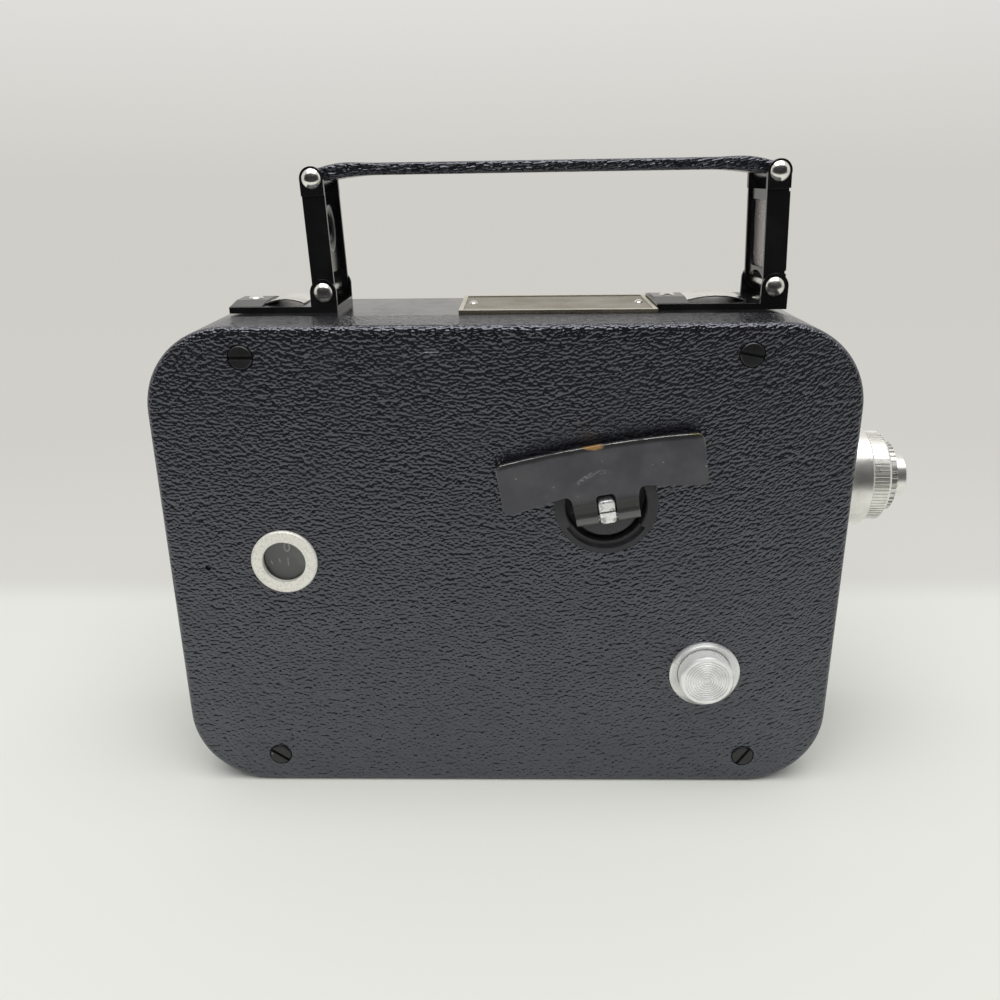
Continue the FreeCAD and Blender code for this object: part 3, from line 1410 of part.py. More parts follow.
def make_shutter():
    pinion_radius = fine_module * shutter_pinion_teeth * 0.4 - shutter_pinion_ease
    shaft_end = half_length - frame_wall - loose_clearance
    disc_end = shutter_x + shutter_thickness
    shaft = rod_x(shutter_y, third_z, shutter_shaft_radius, shutter_shaft_rear, shaft_end)
    pinion = fluted_ring(shutter_y, third_z, pinion_radius, shutter_shaft_radius / 2.0,
                         third_x + crown_inner_radius + guide_clearance, crown_edge_x,
                         shutter_pinion_teeth, shutter_flute_depth)
    cam = rod_x(shutter_y, third_z + cam_throw, cam_radius, claw_x - guide_clearance, cam_end_x)
    collar = rod_x(shutter_y, third_z, shutter_collar_radius, cam_end_x, shutter_x)
    nut = rod_x(shutter_y, third_z, shutter_nut_radius, disc_end, disc_end + shutter_nut_length)
    shaft = fuse_all([shaft, pinion, cam, collar, nut])
    disc = ring_x(shutter_y, third_z, shutter_radius, shutter_shaft_radius, shutter_x, disc_end)
    to_lens = math.degrees(math.atan2(optical_z - third_z, optical_y - shutter_y))
    far = 2.5 * shutter_radius
    near = shutter_collar_radius + shutter_web
    opening = []
    steps = 8
    for i in range(steps + 1):
        turn = math.radians(to_lens - shutter_open_angle / 2.0 + i * shutter_open_angle / steps)
        opening.append((shutter_y + far * math.cos(turn), third_z + far * math.sin(turn)))
    for side in (1, -1):
        turn = math.radians(to_lens + side * shutter_open_angle / 2.0)
        opening.append((shutter_y + near * math.cos(turn), third_z + near * math.sin(turn)))
    disc = disc.cut(sheet_x(opening, shutter_x - 1, disc_end + 1))
    save("shutter", Part.makeCompound([shaft, disc]))


def make_gate():
    tooth_low = third_z + claw_arm_low
    plate = block(gate_x, gate_x + gate_thickness, gate_left_y, gate_right_y, gate_low, gate_high)
    start = gate_x - 1
    end = gate_x + gate_thickness + 1
    cuts = []
    for low, high in ((gate_low - 1, gate_cut_low), (gate_cut_high, gate_high + 1)):
        cuts.append(block(start, end, partition_y, film_floor_y, low, high))
    cuts.append(block(start, end, optical_y - aperture_width / 2.0, optical_y + aperture_width / 2.0,
                      optical_z - aperture_height / 2.0, optical_z + aperture_height / 2.0))
    cuts.append(block(start, end, claw_y - claw_slot_half, claw_y + claw_slot_half,
                      tooth_low - claw_stroke - claw_slot_margin,
                      tooth_low + claw_tooth + claw_slot_margin))
    cuts.append(rod_x(shutter_y, third_z, shutter_shaft_radius + running_clearance, start, end))
    plate = plate.cut(Part.makeCompound(cuts))
    rails = []
    for side in (-1, 1):
        inner = shutter_y + side * (claw_half_width + guide_clearance)
        outer = inner + side * guide_thickness
        high = third_z + guide_low if side < 0 else tooth_low - claw_stroke - guide_clearance
        rails.append(block(gate_x + gate_thickness - joint_depth / 2.0, claw_x + claw_thickness,
                           min(inner, outer), max(inner, outer), third_z - guide_low, high))
    save("gate_plate", fuse_all([plate] + rails))


def make_claw():
    claw_end = claw_x + claw_thickness
    tooth_low = third_z + claw_arm_low
    swing = cam_radius + cam_throw + cam_clearance
    frame = block(claw_x, claw_end, shutter_y - claw_half_width, shutter_y + claw_half_width,
                  third_z - swing - claw_rim, third_z + swing + claw_stroke + claw_rim)
    window = block(claw_x - 1, claw_end + 1, shutter_y - swing, shutter_y + swing,
                   third_z - swing, third_z + swing + claw_stroke)
    arm = block(claw_x, claw_end, shutter_y + swing + joint_depth, claw_y + claw_tooth / 2.0,
                tooth_low, tooth_low + claw_arm_height)
    tooth = block(gate_x - joint_depth, claw_x + joint_depth, claw_y - claw_tooth / 2.0,
                  claw_y + claw_tooth / 2.0, tooth_low, tooth_low + claw_tooth)
    save("claw", fuse_all([frame.cut(window), arm, tooth]))


def make_pressure_plate():
    front = gate_x - film_gap
    rear = front - pressure_plate_thickness
    half = pressure_plate_height / 2.0
    film_far_y = film_edge_y + film_width
    plate = block(rear, front, film_edge_y, film_far_y, optical_z - half, optical_z + half)
    border = pressure_relief_border
    relief = block(front - pressure_relief_depth, front + 1, claw_y - claw_slot_half, film_far_y - border,
                   optical_z - half + border, optical_z + half - border)
    middle_y = film_edge_y + film_width / 2.0
    wall_x = rear - pressure_travel - pressure_post_gap
    pins = []
    bores = []
    for side in (-1, 1):
        z = optical_z + side * pressure_pin_spread
        pins.append(rod_x(middle_y, z, pressure_pin_radius, rear - pressure_pin_length,
                          rear + pressure_relief_depth))
        bores.append(rod_x(middle_y, z, pressure_pin_radius + running_clearance,
                           wall_x - pressure_post_thickness - 1, wall_x + 1))
    save("pressure_plate", fuse_all([plate.cut(relief)] + pins))
    low = optical_z - pressure_post_half_height
    high = optical_z + pressure_post_half_height
    post = block(wall_x - pressure_post_thickness, wall_x, film_floor_y, film_far_y - pressure_side_gap,
                 low, high)
    foot = block(wall_x - pressure_foot_length, wall_x, film_floor_y,
                 film_floor_y + pressure_post_thickness, low, high)
    save("pressure_bracket", fuse_all([post, foot]).cut(Part.makeCompound(bores)))
    height = rear - wall_x - 2.0 * (pressure_spring_wire + spring_end_gap)
    spring = coil(height, pressure_spring_radius, pressure_spring_wire, pressure_spring_turns)
    spring.rotate(vec(0, 0, 0), Y, 90)
    spring_start = wall_x + pressure_spring_wire + spring_end_gap
    save("pressure_spring", shift(spring, spring_start, middle_y, optical_z))


# Lens


def make_lens():
    y = optical_y
    z = optical_z
    base = half_length
    tube_start = base + flange_thickness
    flange = [(base, lens_flange_hole), (base, flange_radius), (tube_start - lens_edge, flange_radius),
              (tube_start, flange_radius - lens_edge), (tube_start, lens_flange_hole)]
    save("lens_flange", turned_x(flange, y, z))
    focus_start = barrel_tube_end + ring_gap
    focus_end = focus_start + focus_ring_length
    core = focus_ring_bore - running_clearance
    aperture_start = focus_end + ring_gap
    aperture_end = aperture_start + aperture_ring_length
    seat = aperture_ring_bore - running_clearance
    lip_start = aperture_end + ring_gap
    tail = base - lens_tail
    neck = lens_flange_hole - seat_clearance
    front_seat = nose_end - lens_front_recess
    profile = [(tail, lens_bore), (tail, neck), (tube_start, neck),
               (tube_start, barrel_tube_radius - lens_edge), (tube_start + lens_edge, barrel_tube_radius),
               (barrel_tube_end - lens_edge, barrel_tube_radius),
               (barrel_tube_end, barrel_tube_radius - lens_edge),
               (barrel_tube_end, core), (focus_end, core), (focus_end, seat), (lip_start, seat),
               (lip_start, seat + ring_lip), (lip_start + ring_lip, seat + ring_lip),
               (lip_start + ring_lip, nose_radius), (nose_end - lens_edge, nose_radius),
               (nose_end, nose_radius - lens_edge), (nose_end, lens_bore + lens_edge),
               (front_seat, lens_bore)]
    stop = ring_x(y, z, lens_bore + joint_depth / 2.0, iris_radius, barrel_tube_end + iris_depth,
                  barrel_tube_end + iris_depth + iris_thickness)
    save("lens_barrel", fuse_all([turned_x(profile, y, z), stop]))
    ring = fluted_ring(y, z, focus_ring_radius, focus_ring_bore, focus_start, focus_end,
                       focus_ring_flutes, focus_flute_depth)
    inside = focus_ring_bore / 2.0
    proud = focus_ring_radius + lens_edge / 4.0
    rear_edge = focus_ring_radius - lens_edge
    front_edge = focus_ring_radius - focus_chamfer
    bevel = [(focus_start - 1, rear_edge), (focus_start, rear_edge), (focus_start + lens_edge, proud),
             (focus_end - focus_chamfer, proud), (focus_end, front_edge), (focus_end + 1, front_edge),
             (focus_end + 1, inside), (focus_start - 1, inside)]
    save("focus_ring", ring.common(turned_x(bevel, y, z)))
    save("aperture_ring", fluted_ring(y, z, aperture_ring_radius, aperture_ring_bore, aperture_start,
                                      aperture_end, aperture_ring_notches, aperture_notch_depth))
    glass_radius = lens_bore - lens_fit
    front = Part.makeSphere(lens_front_curve, vec(front_seat - lens_front_curve + lens_bulge, y, z))
    front = front.common(rod_x(y, z, glass_radius, front_seat - glass_thickness, nose_end))
    rear_seat = base - lens_rear_recess
    rear = rod_x(y, z, glass_radius, rear_seat, rear_seat + glass_thickness)
    dish = Part.makeSphere(lens_rear_curve, vec(rear_seat - lens_rear_curve + lens_bulge, y, z))
    save("lens_elements", Part.makeCompound([front, rear.cut(dish)]))


# Bottom, top plate and handle bases


def make_tripod_bush():
    bush = rod_z(0, 0, bush_radius - rivet_clearance, 0, bush_length)
    bush = bush.cut(rod_z(0, 0, socket_radius, -1, socket_depth))
    save("tripod_bush", bush)


def make_nameplate():
    plate = block(plate_left, plate_right, plate_near_y, plate_far_y, top_z,
                  top_z + plate_thickness + plate_rim_height)
    field = block(plate_left + plate_rim, plate_right - plate_rim, plate_near_y + plate_rim,
                  plate_far_y - plate_rim, top_z + plate_thickness, top_z + plate_thickness + 1)
    pins = []
    plate = plate.cut(field)
    for x in (plate_left + plate_pin_inset, plate_right - plate_pin_inset):
        plate = plate.cut(rod_z(x, plate_middle_y, plate_pin_shank + thread_clearance, top_z - 1,
                                top_z + plate_thickness + 1))
        pins.append(rivet(x, plate_middle_y, plate_pin_shank, plate_pin_radius, plate_pin_height,
                          top_z + plate_thickness))
    save("nameplate", plate)
    shank = top_rivet_shank - rivet_clearance
    for pivot_x, pivot_z, reach in handle_ends:
        pins.append(rivet(pivot_x - reach + clip_length / 2.0, handle_y, shank, small_rivet_radius,
                          small_rivet_height, top_z + base_plate + clip_height))
        pins.append(rivet(pivot_x - base_rivet_offset, handle_y, shank, base_rivet_radius,
                          base_rivet_height, top_z + base_plate))
    save("top_rivets", Part.makeCompound(pins))


def rivet(x, y, shank_radius, head_radius, height, seat):
    """A rivet from the inside of the top wall up to its domed head on the seat."""
    shank = rod_z(x, y, shank_radius, top_z - frame_wall, seat + joint_depth / 2.0)
    return fuse_all([shank, dome_z(x, y, head_radius, height, seat)])


def hinge_base(pivot_x, pivot_z, reach):
    high = top_z + base_plate
    pieces = [block(pivot_x - reach, pivot_x + base_toe, handle_y - base_half_width,
                    handle_y + base_half_width, top_z, high)]
    for side in (-1, 1):
        outer = handle_y + side * base_half_width
        inner = outer - side * ear_sheet
        y0 = min(outer, inner)
        y1 = max(outer, inner)
        pieces.append(rod_y(pivot_x, pivot_z, ear_half_width, y0, y1))
        pieces.append(block(pivot_x - ear_half_width, pivot_x + ear_half_width, y0, y1, top_z, pivot_z))
    base = fuse_all(pieces)
    for x in (pivot_x - reach + clip_length / 2.0, pivot_x - base_rivet_offset):
        base = base.cut(rod_z(x, handle_y, top_rivet_shank, top_z - 1, high + 1))
    return base.cut(rod_y(pivot_x, pivot_z, pivot_pin_radius, split_y, back_y))


def leaf_spring(pivot_x, reach):
    start = pivot_x - reach + leaf_inset
    clamp_end = pivot_x - reach + clip_length
    stop = pivot_x - leaf_foot
    low = top_z + base_plate
    high = low + leaf_thickness
    half = (clamp_end + stop) / 2.0
    bow_low = Part.Arc(vec(clamp_end, 0, low), vec(half, 0, low + leaf_rise),
                       vec(stop, 0, low)).toShape()
    bow_high = Part.Arc(vec(stop, 0, high), vec(half, 0, high + leaf_rise),
                        vec(clamp_end, 0, high)).toShape()
    edges = [Part.LineSegment(vec(start, 0, low), vec(clamp_end, 0, low)).toShape(), bow_low,
             Part.LineSegment(vec(stop, 0, low), vec(stop, 0, high)).toShape(), bow_high,
             Part.LineSegment(vec(clamp_end, 0, high), vec(start, 0, high)).toShape(),
             Part.LineSegment(vec(start, 0, high), vec(start, 0, low)).toShape()]
    leaf = Part.Face(Part.Wire(edges)).extrude(vec(0, leaf_width, 0))
    leaf.translate(vec(0, handle_y - leaf_width / 2.0, 0))
    return leaf.cut(rod_z(pivot_x - reach + clip_length / 2.0, handle_y, top_rivet_shank, low - 1,
                          high + 1))


def make_handle_bases():
    bases = []
    leaves = []
    clips = []
    pins = []
    low = top_z + base_plate
    high = low + clip_height
    section = [(handle_y - clip_half_width, low), (handle_y + clip_half_width, low),
               (handle_y + clip_crest, high), (handle_y - clip_crest, high)]
    groove_half = leaf_width / 2.0 + running_clearance
    for pivot_x, pivot_z, reach in handle_ends:
        bases.append(hinge_base(pivot_x, pivot_z, reach))
        leaves.append(leaf_spring(pivot_x, reach))
        clip_end = pivot_x - reach + clip_length
        clip = sheet_x(section, pivot_x - reach, clip_end)
        groove = block(pivot_x - reach + leaf_inset, clip_end + 1, handle_y - groove_half,
                       handle_y + groove_half, low - 1, low + leaf_thickness)
        hole = rod_z(pivot_x - reach + clip_length / 2.0, handle_y, top_rivet_shank, low - 1, high + 1)
        clips.append(clip.cut(groove).cut(hole))
        shaft = rod_y(pivot_x, pivot_z, pivot_pin_radius, handle_y - base_half_width,
                      handle_y + base_half_width)
        heads = [dome_y(pivot_x, pivot_z, rivet_radius, rivet_height, handle_y + side * base_half_width,
                        side) for side in (-1, 1)]
        pins.append(fuse_all([shaft] + heads))
    save("rear_hinge_base", bases[0])
    save("front_hinge_base", bases[1])
    save("leaf_springs", Part.makeCompound(leaves))
    save("clip_blocks", Part.makeCompound(clips))
    save("lower_pivot_pins", Part.makeCompound(pins))


# Uprights, sights and strap


def upright_legs():
    """The two legs of an upright, standing on a pivot at the origin."""
    half = upright_leg / 2.0
    legs = []
    for side in (-1, 1):
        outer = side * upright_half_width
        inner = outer - side * upright_sheet
        y0 = min(outer, inner)
        y1 = max(outer, inner)
        legs.append(block(-half, half, y0, y1, 0, upright_length))
        legs.append(rod_y(0, 0, half, y0, y1))
        proud = outer + side * head_proud
        h0 = min(proud, inner)
        h1 = max(proud, inner)
        legs.append(rod_y(0, upright_length, half + head_edge_proud, h0, h1))
        legs.append(block(-half - head_edge_proud, half, h0, h1, upright_length - head_length,
                          upright_length))
    return legs


def stand(shape, pivot_x, pivot_z):
    """Lean a piece of an upright back and put it on its pivot."""
    shape.rotate(vec(0, 0, 0), Y, -upright_lean)
    return shift(shape, pivot_x, handle_y, pivot_z)


def finish_upright(upright, pivot_x, pivot_z):
    upright = upright.cut(rod_y(0, 0, pivot_pin_radius + running_clearance, -across, across))
    upright = upright.cut(rod_y(0, upright_length, pivot_pin_radius, -across, across))
    return stand(upright, pivot_x, pivot_z)


def upper_pin(pivot_x, pivot_z):
    reach = upright_half_width + head_proud
    shaft = rod_y(0, upright_length, pivot_pin_radius, -reach, reach)
    heads = [dome_y(0, upright_length, rivet_radius, rivet_height, side * reach, side) for side in (-1, 1)]
    return stand(fuse_all([shaft] + heads), pivot_x, pivot_z)


def make_rear_upright():
    web_half = upright_half_width - upright_sheet / 2.0
    web_back = rear_web_face - web_sheet
    web = block(web_back, rear_web_face, -web_half, web_half, rear_web_low, rear_web_high)
    seat = sight_ring_radius - sight_ring_lip
    frame = fuse_all(upright_legs() + [web])
    frame = frame.cut(rod_x(0, sight_centre, seat, -upright_leg, upright_leg))
    save("rear_sight_frame", finish_upright(frame, rear_pivot_x, rear_pivot_z))
    face = rear_web_face + sight_ring_proud
    tail = web_back - sight_ring_tail
    neck = seat - seat_clearance
    profile = [(tail, sight_hole_radius), (tail, neck), (rear_web_face, neck),
               (rear_web_face, sight_ring_radius), (face, sight_ring_radius),
               (face, sight_hole_radius + sight_ring_chamfer),
               (face - sight_ring_chamfer, sight_hole_radius)]
    save("rear_sight_ring", stand(turned_x(profile, 0, sight_centre), rear_pivot_x, rear_pivot_z))
    save("rear_upper_pin", upper_pin(rear_pivot_x, rear_pivot_z))


def window_sheet(margin, x0, x1):
    """A sheet of the form of the front window, with round lower corners, larger by margin."""
    half = front_window_half_width + margin
    low = front_window_low - margin
    high = front_window_high + margin
    sheet = sheet_x([(-half, low), (half, low), (half, high), (-half, high)], x0, x1)
    corners = [e for e in sheet.Edges if e.BoundBox.YLength < joint_depth
               and e.BoundBox.ZMax < low + joint_depth]
    return sheet.makeFillet(front_window_radius, corners)


def make_front_upright():
    web_half = upright_half_width - upright_sheet / 2.0
    web_front = front_web_face + web_sheet
    web = block(front_web_face, web_front, -web_half, web_half, front_web_low, front_web_high)
    arch = rod_x(0, front_web_arch_top - front_arch_radius, front_arch_radius, -upright_leg, upright_leg)
    web = web.cut(arch).cut(window_sheet(0.0, -upright_leg, upright_leg))
    frame = fuse_all(upright_legs() + [web])
    edge = upright_leg / 2.0 - front_notch_depth
    for low in (front_notch_low, upright_length - head_length - front_notch_height):
        frame = frame.cut(block(edge, upright_leg, -across, across, low, low + front_notch_height))
    save("front_sight_frame", finish_upright(frame, front_pivot_x, front_pivot_z))
    glass = window_sheet(front_glass_margin, web_front, web_front + front_glass_thickness)
    save("front_sight_glass", stand(glass, front_pivot_x, front_pivot_z))
    save("front_upper_pin", upper_pin(front_pivot_x, front_pivot_z))


def strap_curve(points, rise, run):
    """A smooth line in X and Z through the points. It leaves with this rise on this run and ends level."""
    curve = Part.BSplineCurve()
    curve.interpolate([vec(x, 0, z) for x, z in points], InitialTangent=vec(run, 0, rise),
                      FinalTangent=vec(1, 0, 0))
    return curve.toShape()


def strap_body(span):
    """The leather with swollen ends, before the core is let in. The rear pin is at the origin."""
    start = -strap_end_overhang
    top = strap_underside + strap_thickness
    under = strap_underside
    high = [(start, strap_end_top),
            (0.4 * strap_end_peak, strap_end_top + 0.62 * (top - strap_end_top)),
            (strap_end_peak, top + strap_end_rise), (strap_end_length, top)]
    low = [(start, -strap_end_low),
           (0.43 * strap_end_length, under - 0.35 * (under + strap_end_low)), (strap_end_length, under)]
    upper = strap_curve(high, 0.12, 1.0)
    lower = strap_curve(low, 0.15, 1.0)
    pieces = [upper, lower]
    for curve in (upper, lower):
        pieces.append(curve.mirror(vec(span / 2.0, 0, 0), X))
    for height in (top, under):
        pieces.append(Part.LineSegment(vec(strap_end_length, 0, height),
                                       vec(span - strap_end_length, 0, height)).toShape())
    for x in (start, span - start):
        pieces.append(Part.LineSegment(vec(x, 0, -strap_end_low), vec(x, 0, strap_end_top)).toShape())
    outline = Part.Wire(Part.__sortEdges__(pieces))
    body = Part.Face(outline).extrude(vec(0, strap_width, 0))
    body.translate(vec(0, -strap_width / 2.0, 0))
    long_edges = [e for e in body.Edges if e.BoundBox.YLength < joint_depth
                  and e.BoundBox.XLength > strap_end_overhang * 2.0]
    return body.makeFillet(strap_edge_radius, long_edges)


def make_strap():
    lean = math.radians(upright_lean)
    rear_x = rear_pivot_x - upright_length * math.sin(lean)
    rear_z = rear_pivot_z + upright_length * math.cos(lean)
    front_x = front_pivot_x - upright_length * math.sin(lean)
    front_z = front_pivot_z + upright_length * math.cos(lean)
    span = math.hypot(front_x - rear_x, front_z - rear_z)
    tilt = math.degrees(math.atan2(front_z - rear_z, front_x - rear_x))
    half = core_width / 2.0
    core_low = core_height - core_thickness / 2.0
    pieces = [block(0, span, -half, half, core_low, core_low + core_thickness)]
    for x in (0, span):
        pieces.append(rod_y(x, 0, eye_radius, -eye_half_width, eye_half_width))
    core = fuse_all(pieces)
    bores = [rod_y(x, 0, pivot_pin_radius + running_clearance, -across, across) for x in (0, span)]
    core = core.cut(Part.makeCompound(bores))
    leather = strap_body(span).cut(core).cut(Part.makeCompound(bores))
    for name, shape in (("handle_core", core), ("handle_leather", leather)):
        shape.rotate(vec(0, 0, 0), Y, -tilt)
        save(name, shift(shape, rear_x, handle_y, rear_z))
    print("STRAP rear %.4f %.4f front %.4f %.4f" % (rear_x, rear_z, front_x, front_z))


# Film door and its latch


def make_door():
    plate = case_plate(0.0, door_seat_y, back_y)
    plate = plate.makeFillet(door_edge_radius, edges_at_y(plate, back_y))
    plate = plate.cut(case_plate(door_border, door_leather_y, back_y + 1))
    skirt_outer = frame_wall + door_clearance
    skirt_y = door_seat_y - door_skirt_depth
    skirt = case_plate(skirt_outer, skirt_y, door_seat_y + joint_depth / 2.0)
    skirt = skirt.cut(case_plate(skirt_outer + door_skirt_wall, skirt_y - 1, door_seat_y))
    door = fuse_all([plate, skirt])
    hole = rod_y(latch_x, latch_z, latch_shaft_radius + running_clearance, skirt_y, back_y)
    save("film_door", door.cut(hole))
    leather = case_plate(door_border + door_leather_clearance, door_leather_y,
                         back_y - door_leather_clearance)
    leather = leather.cut(rod_y(latch_x, latch_z, latch_knob_radius + loose_clearance, door_seat_y,
                                back_y + 1))
    save("door_leather", leather)


def make_latch():
    seat = door_leather_y + loose_clearance
    top = back_y + latch_knob_proud
    knob = turned_y([(seat, 0.0), (seat, latch_knob_radius), (top - latch_knob_edge, latch_knob_radius),
                     (top, latch_knob_radius - latch_knob_edge), (top, 0.0)], latch_x, latch_z)
    dish_y = top - latch_knob_dish
    dish = rod_y(latch_x, latch_z, latch_knob_radius - latch_knob_rim, dish_y, top + 1)
    grip_half = latch_knob_radius - latch_grip_inset
    grip = block(latch_x - grip_half, latch_x + grip_half, dish_y - joint_depth / 2.0,
                 top + latch_grip_height, latch_z - latch_grip_width / 2.0,
                 latch_z + latch_grip_width / 2.0)
    grip = grip.makeFillet(latch_grip_round, [e for e in grip.Edges if e.BoundBox.YMax > top + 1])
    knob = fuse_all([knob.cut(dish), grip])
    shaft = rod_y(latch_x, latch_z, latch_shaft_radius, latch_bar_y, dish_y - joint_depth / 2.0)
    bar = block(latch_x - latch_bar_half, latch_x + latch_bar_half, latch_bar_y,
                latch_bar_y + latch_bar_thickness, latch_z - latch_bar_width / 2.0,
                latch_z + latch_bar_width / 2.0)
    save("door_latch", fuse_all([knob, shaft, bar]))


make_main_frame()
make_main_plate()
make_cover()
make_cover_screws()
make_key_cup()
make_winding_arbor()
make_pawl()
make_winding_key()
make_counter()
make_button()
make_movement()
make_spindles()
make_shutter()
make_gate()
make_claw()
make_pressure_plate()
make_lens()
make_tripod_bush()
make_nameplate()
make_handle_bases()
make_rear_upright()
make_front_upright()
make_strap()
make_door()
make_latch()
print("PLACES second %.4f %.4f governor %.4f %.4f" % (second_x, second_z, governor_x, governor_z))
print("PLACES idler %.4f %.4f takeup %.4f %.4f" % (idler_x, idler_z, takeup_x, takeup_z))
print("PLACES feeler %.4f %.4f dial %.4f %.4f" % (feeler_x, feeler_z, dial_x, dial_z))
print("PLACES pawl %.4f %.4f" % (pawl_x, pawl_z))
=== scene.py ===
import json
import math

import bmesh
import bpy
from mathutils import Matrix, Vector


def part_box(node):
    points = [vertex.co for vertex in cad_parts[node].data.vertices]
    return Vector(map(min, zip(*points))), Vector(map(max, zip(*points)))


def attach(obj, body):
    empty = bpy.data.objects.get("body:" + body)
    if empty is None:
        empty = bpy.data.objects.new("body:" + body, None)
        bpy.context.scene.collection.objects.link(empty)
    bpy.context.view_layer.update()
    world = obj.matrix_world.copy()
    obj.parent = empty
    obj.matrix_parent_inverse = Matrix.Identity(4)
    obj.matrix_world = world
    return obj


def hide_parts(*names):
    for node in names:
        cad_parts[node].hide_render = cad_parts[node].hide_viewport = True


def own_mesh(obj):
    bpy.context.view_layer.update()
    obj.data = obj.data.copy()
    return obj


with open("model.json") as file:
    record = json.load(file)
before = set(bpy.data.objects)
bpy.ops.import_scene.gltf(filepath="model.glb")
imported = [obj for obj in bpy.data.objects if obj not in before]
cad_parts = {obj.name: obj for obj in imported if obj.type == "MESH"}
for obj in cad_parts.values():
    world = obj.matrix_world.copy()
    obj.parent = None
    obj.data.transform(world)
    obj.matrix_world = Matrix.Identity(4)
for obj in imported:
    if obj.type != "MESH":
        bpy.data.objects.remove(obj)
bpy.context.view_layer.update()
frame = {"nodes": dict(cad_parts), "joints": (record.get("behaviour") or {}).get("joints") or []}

nodes = frame["nodes"]
joints = {joint["name"]: joint for joint in frame["joints"]}

# Sizes are in metres and colours are linear.
MM = 0.001


class Graph:
    """A node tree, with short calls for the nodes that the finishes and the studio share."""

    # The colour sockets of a mix node, which has others of the same names for numbers.
    MIX_FIRST = 6
    MIX_SECOND = 7
    MIX_RESULT = 2

    def __init__(self, tree, coordinates):
        self.tree = tree
        self.place = self.node("ShaderNodeTexCoord").outputs[coordinates]

    def node(self, kind, **settings):
        made = self.tree.nodes.new(kind)
        for key, value in settings.items():
            setattr(made, key, value)
        return made

    def feed(self, socket, value):
        """Links an output to a socket, or sets the socket's own value. Colours are made opaque."""
        if isinstance(value, bpy.types.NodeSocket):
            self.tree.links.new(value, socket)
        elif socket.type == "RGBA":
            socket.default_value = (*value, 1.0)
        else:
            socket.default_value = value

    def math(self, operation, first, second=0.0):
        made = self.node("ShaderNodeMath", operation=operation)
        self.feed(made.inputs[0], first)
        self.feed(made.inputs[1], second)
        return made.outputs[0]

    def product(self, first, *others):
        for other in others:
            first = self.math("MULTIPLY", first, other)
        return first

    def total(self, first, *others):
        for other in others:
            first = self.math("ADD", first, other)
        return first

    def vector(self, operation, first, second=(0.0, 0.0, 0.0)):
        made = self.node("ShaderNodeVectorMath", operation=operation)
        self.feed(made.inputs[0], first)
        self.feed(made.inputs[1], second)
        return made.outputs["Value" if operation in ("LENGTH", "DOT_PRODUCT") else "Vector"]

    def axis(self, vector, which):
        made = self.node("ShaderNodeSeparateXYZ")
        self.feed(made.inputs[0], vector)
        return made.outputs["XYZ".index(which)]

    def noise(self, scale, detail=3.0, roughness=0.55, place=None, colour=False):
        """Soft random grain. The scale is in grains to the metre."""
        made = self.node("ShaderNodeTexNoise")
        self.feed(made.inputs["Vector"], place or self.place)
        self.feed(made.inputs["Scale"], scale)
        self.feed(made.inputs["Detail"], detail)
        self.feed(made.inputs["Roughness"], roughness)
        return made.outputs["Color" if colour else "Fac"]

    def cells(self, scale):
        """How far a point lies from the middle of its cell. The scale is in cells to the metre."""
        made = self.node("ShaderNodeTexVoronoi")
        self.feed(made.inputs["Vector"], self.place)
        self.feed(made.inputs["Scale"], scale)
        return made.outputs["Distance"]

    def span(self, value, low, high, to_low=0.0, to_high=1.0, kind="SMOOTHSTEP"):
        """Maps low..high to to_low..to_high, with soft ends unless the kind is LINEAR."""
        made = self.node("ShaderNodeMapRange", interpolation_type=kind)
        self.feed(made.inputs["Value"], value)
        self.feed(made.inputs["From Min"], low)
        self.feed(made.inputs["From Max"], high)
        self.feed(made.inputs["To Min"], to_low)
        self.feed(made.inputs["To Max"], to_high)
        return made.outputs["Result"]

    def blend(self, share, first, second):
        """The first colour where share is 0 and the second where it is 1."""
        made = self.node("ShaderNodeMix", data_type="RGBA")
        self.feed(made.inputs["Factor"], share)
        self.feed(made.inputs[self.MIX_FIRST], first)
        self.feed(made.inputs[self.MIX_SECOND], second)
        return made.outputs[self.MIX_RESULT]

    def glow(self, kind, colour, strength=1.0):
        """A shader that shines by itself: an emission or a world's background."""
        made = self.node(kind)
        self.feed(made.inputs["Color"], colour)
        self.feed(made.inputs["Strength"], strength)
        return made.outputs[0]

    def mix_shaders(self, share, first, second):
        made = self.node("ShaderNodeMixShader")
        self.feed(made.inputs[0], share)
        self.feed(made.inputs[1], first)
        self.feed(made.inputs[2], second)
        return made.outputs[0]

    def sees_backdrop(self):
        """1 for rays that should meet the pale studio: the camera's, off polish or through glass."""
        path = self.node("ShaderNodeLightPath").outputs
        shiny = self.math("MAXIMUM", path["Is Glossy Ray"], path["Is Transmission Ray"])
        return self.math("MAXIMUM", path["Is Camera Ray"], shiny)


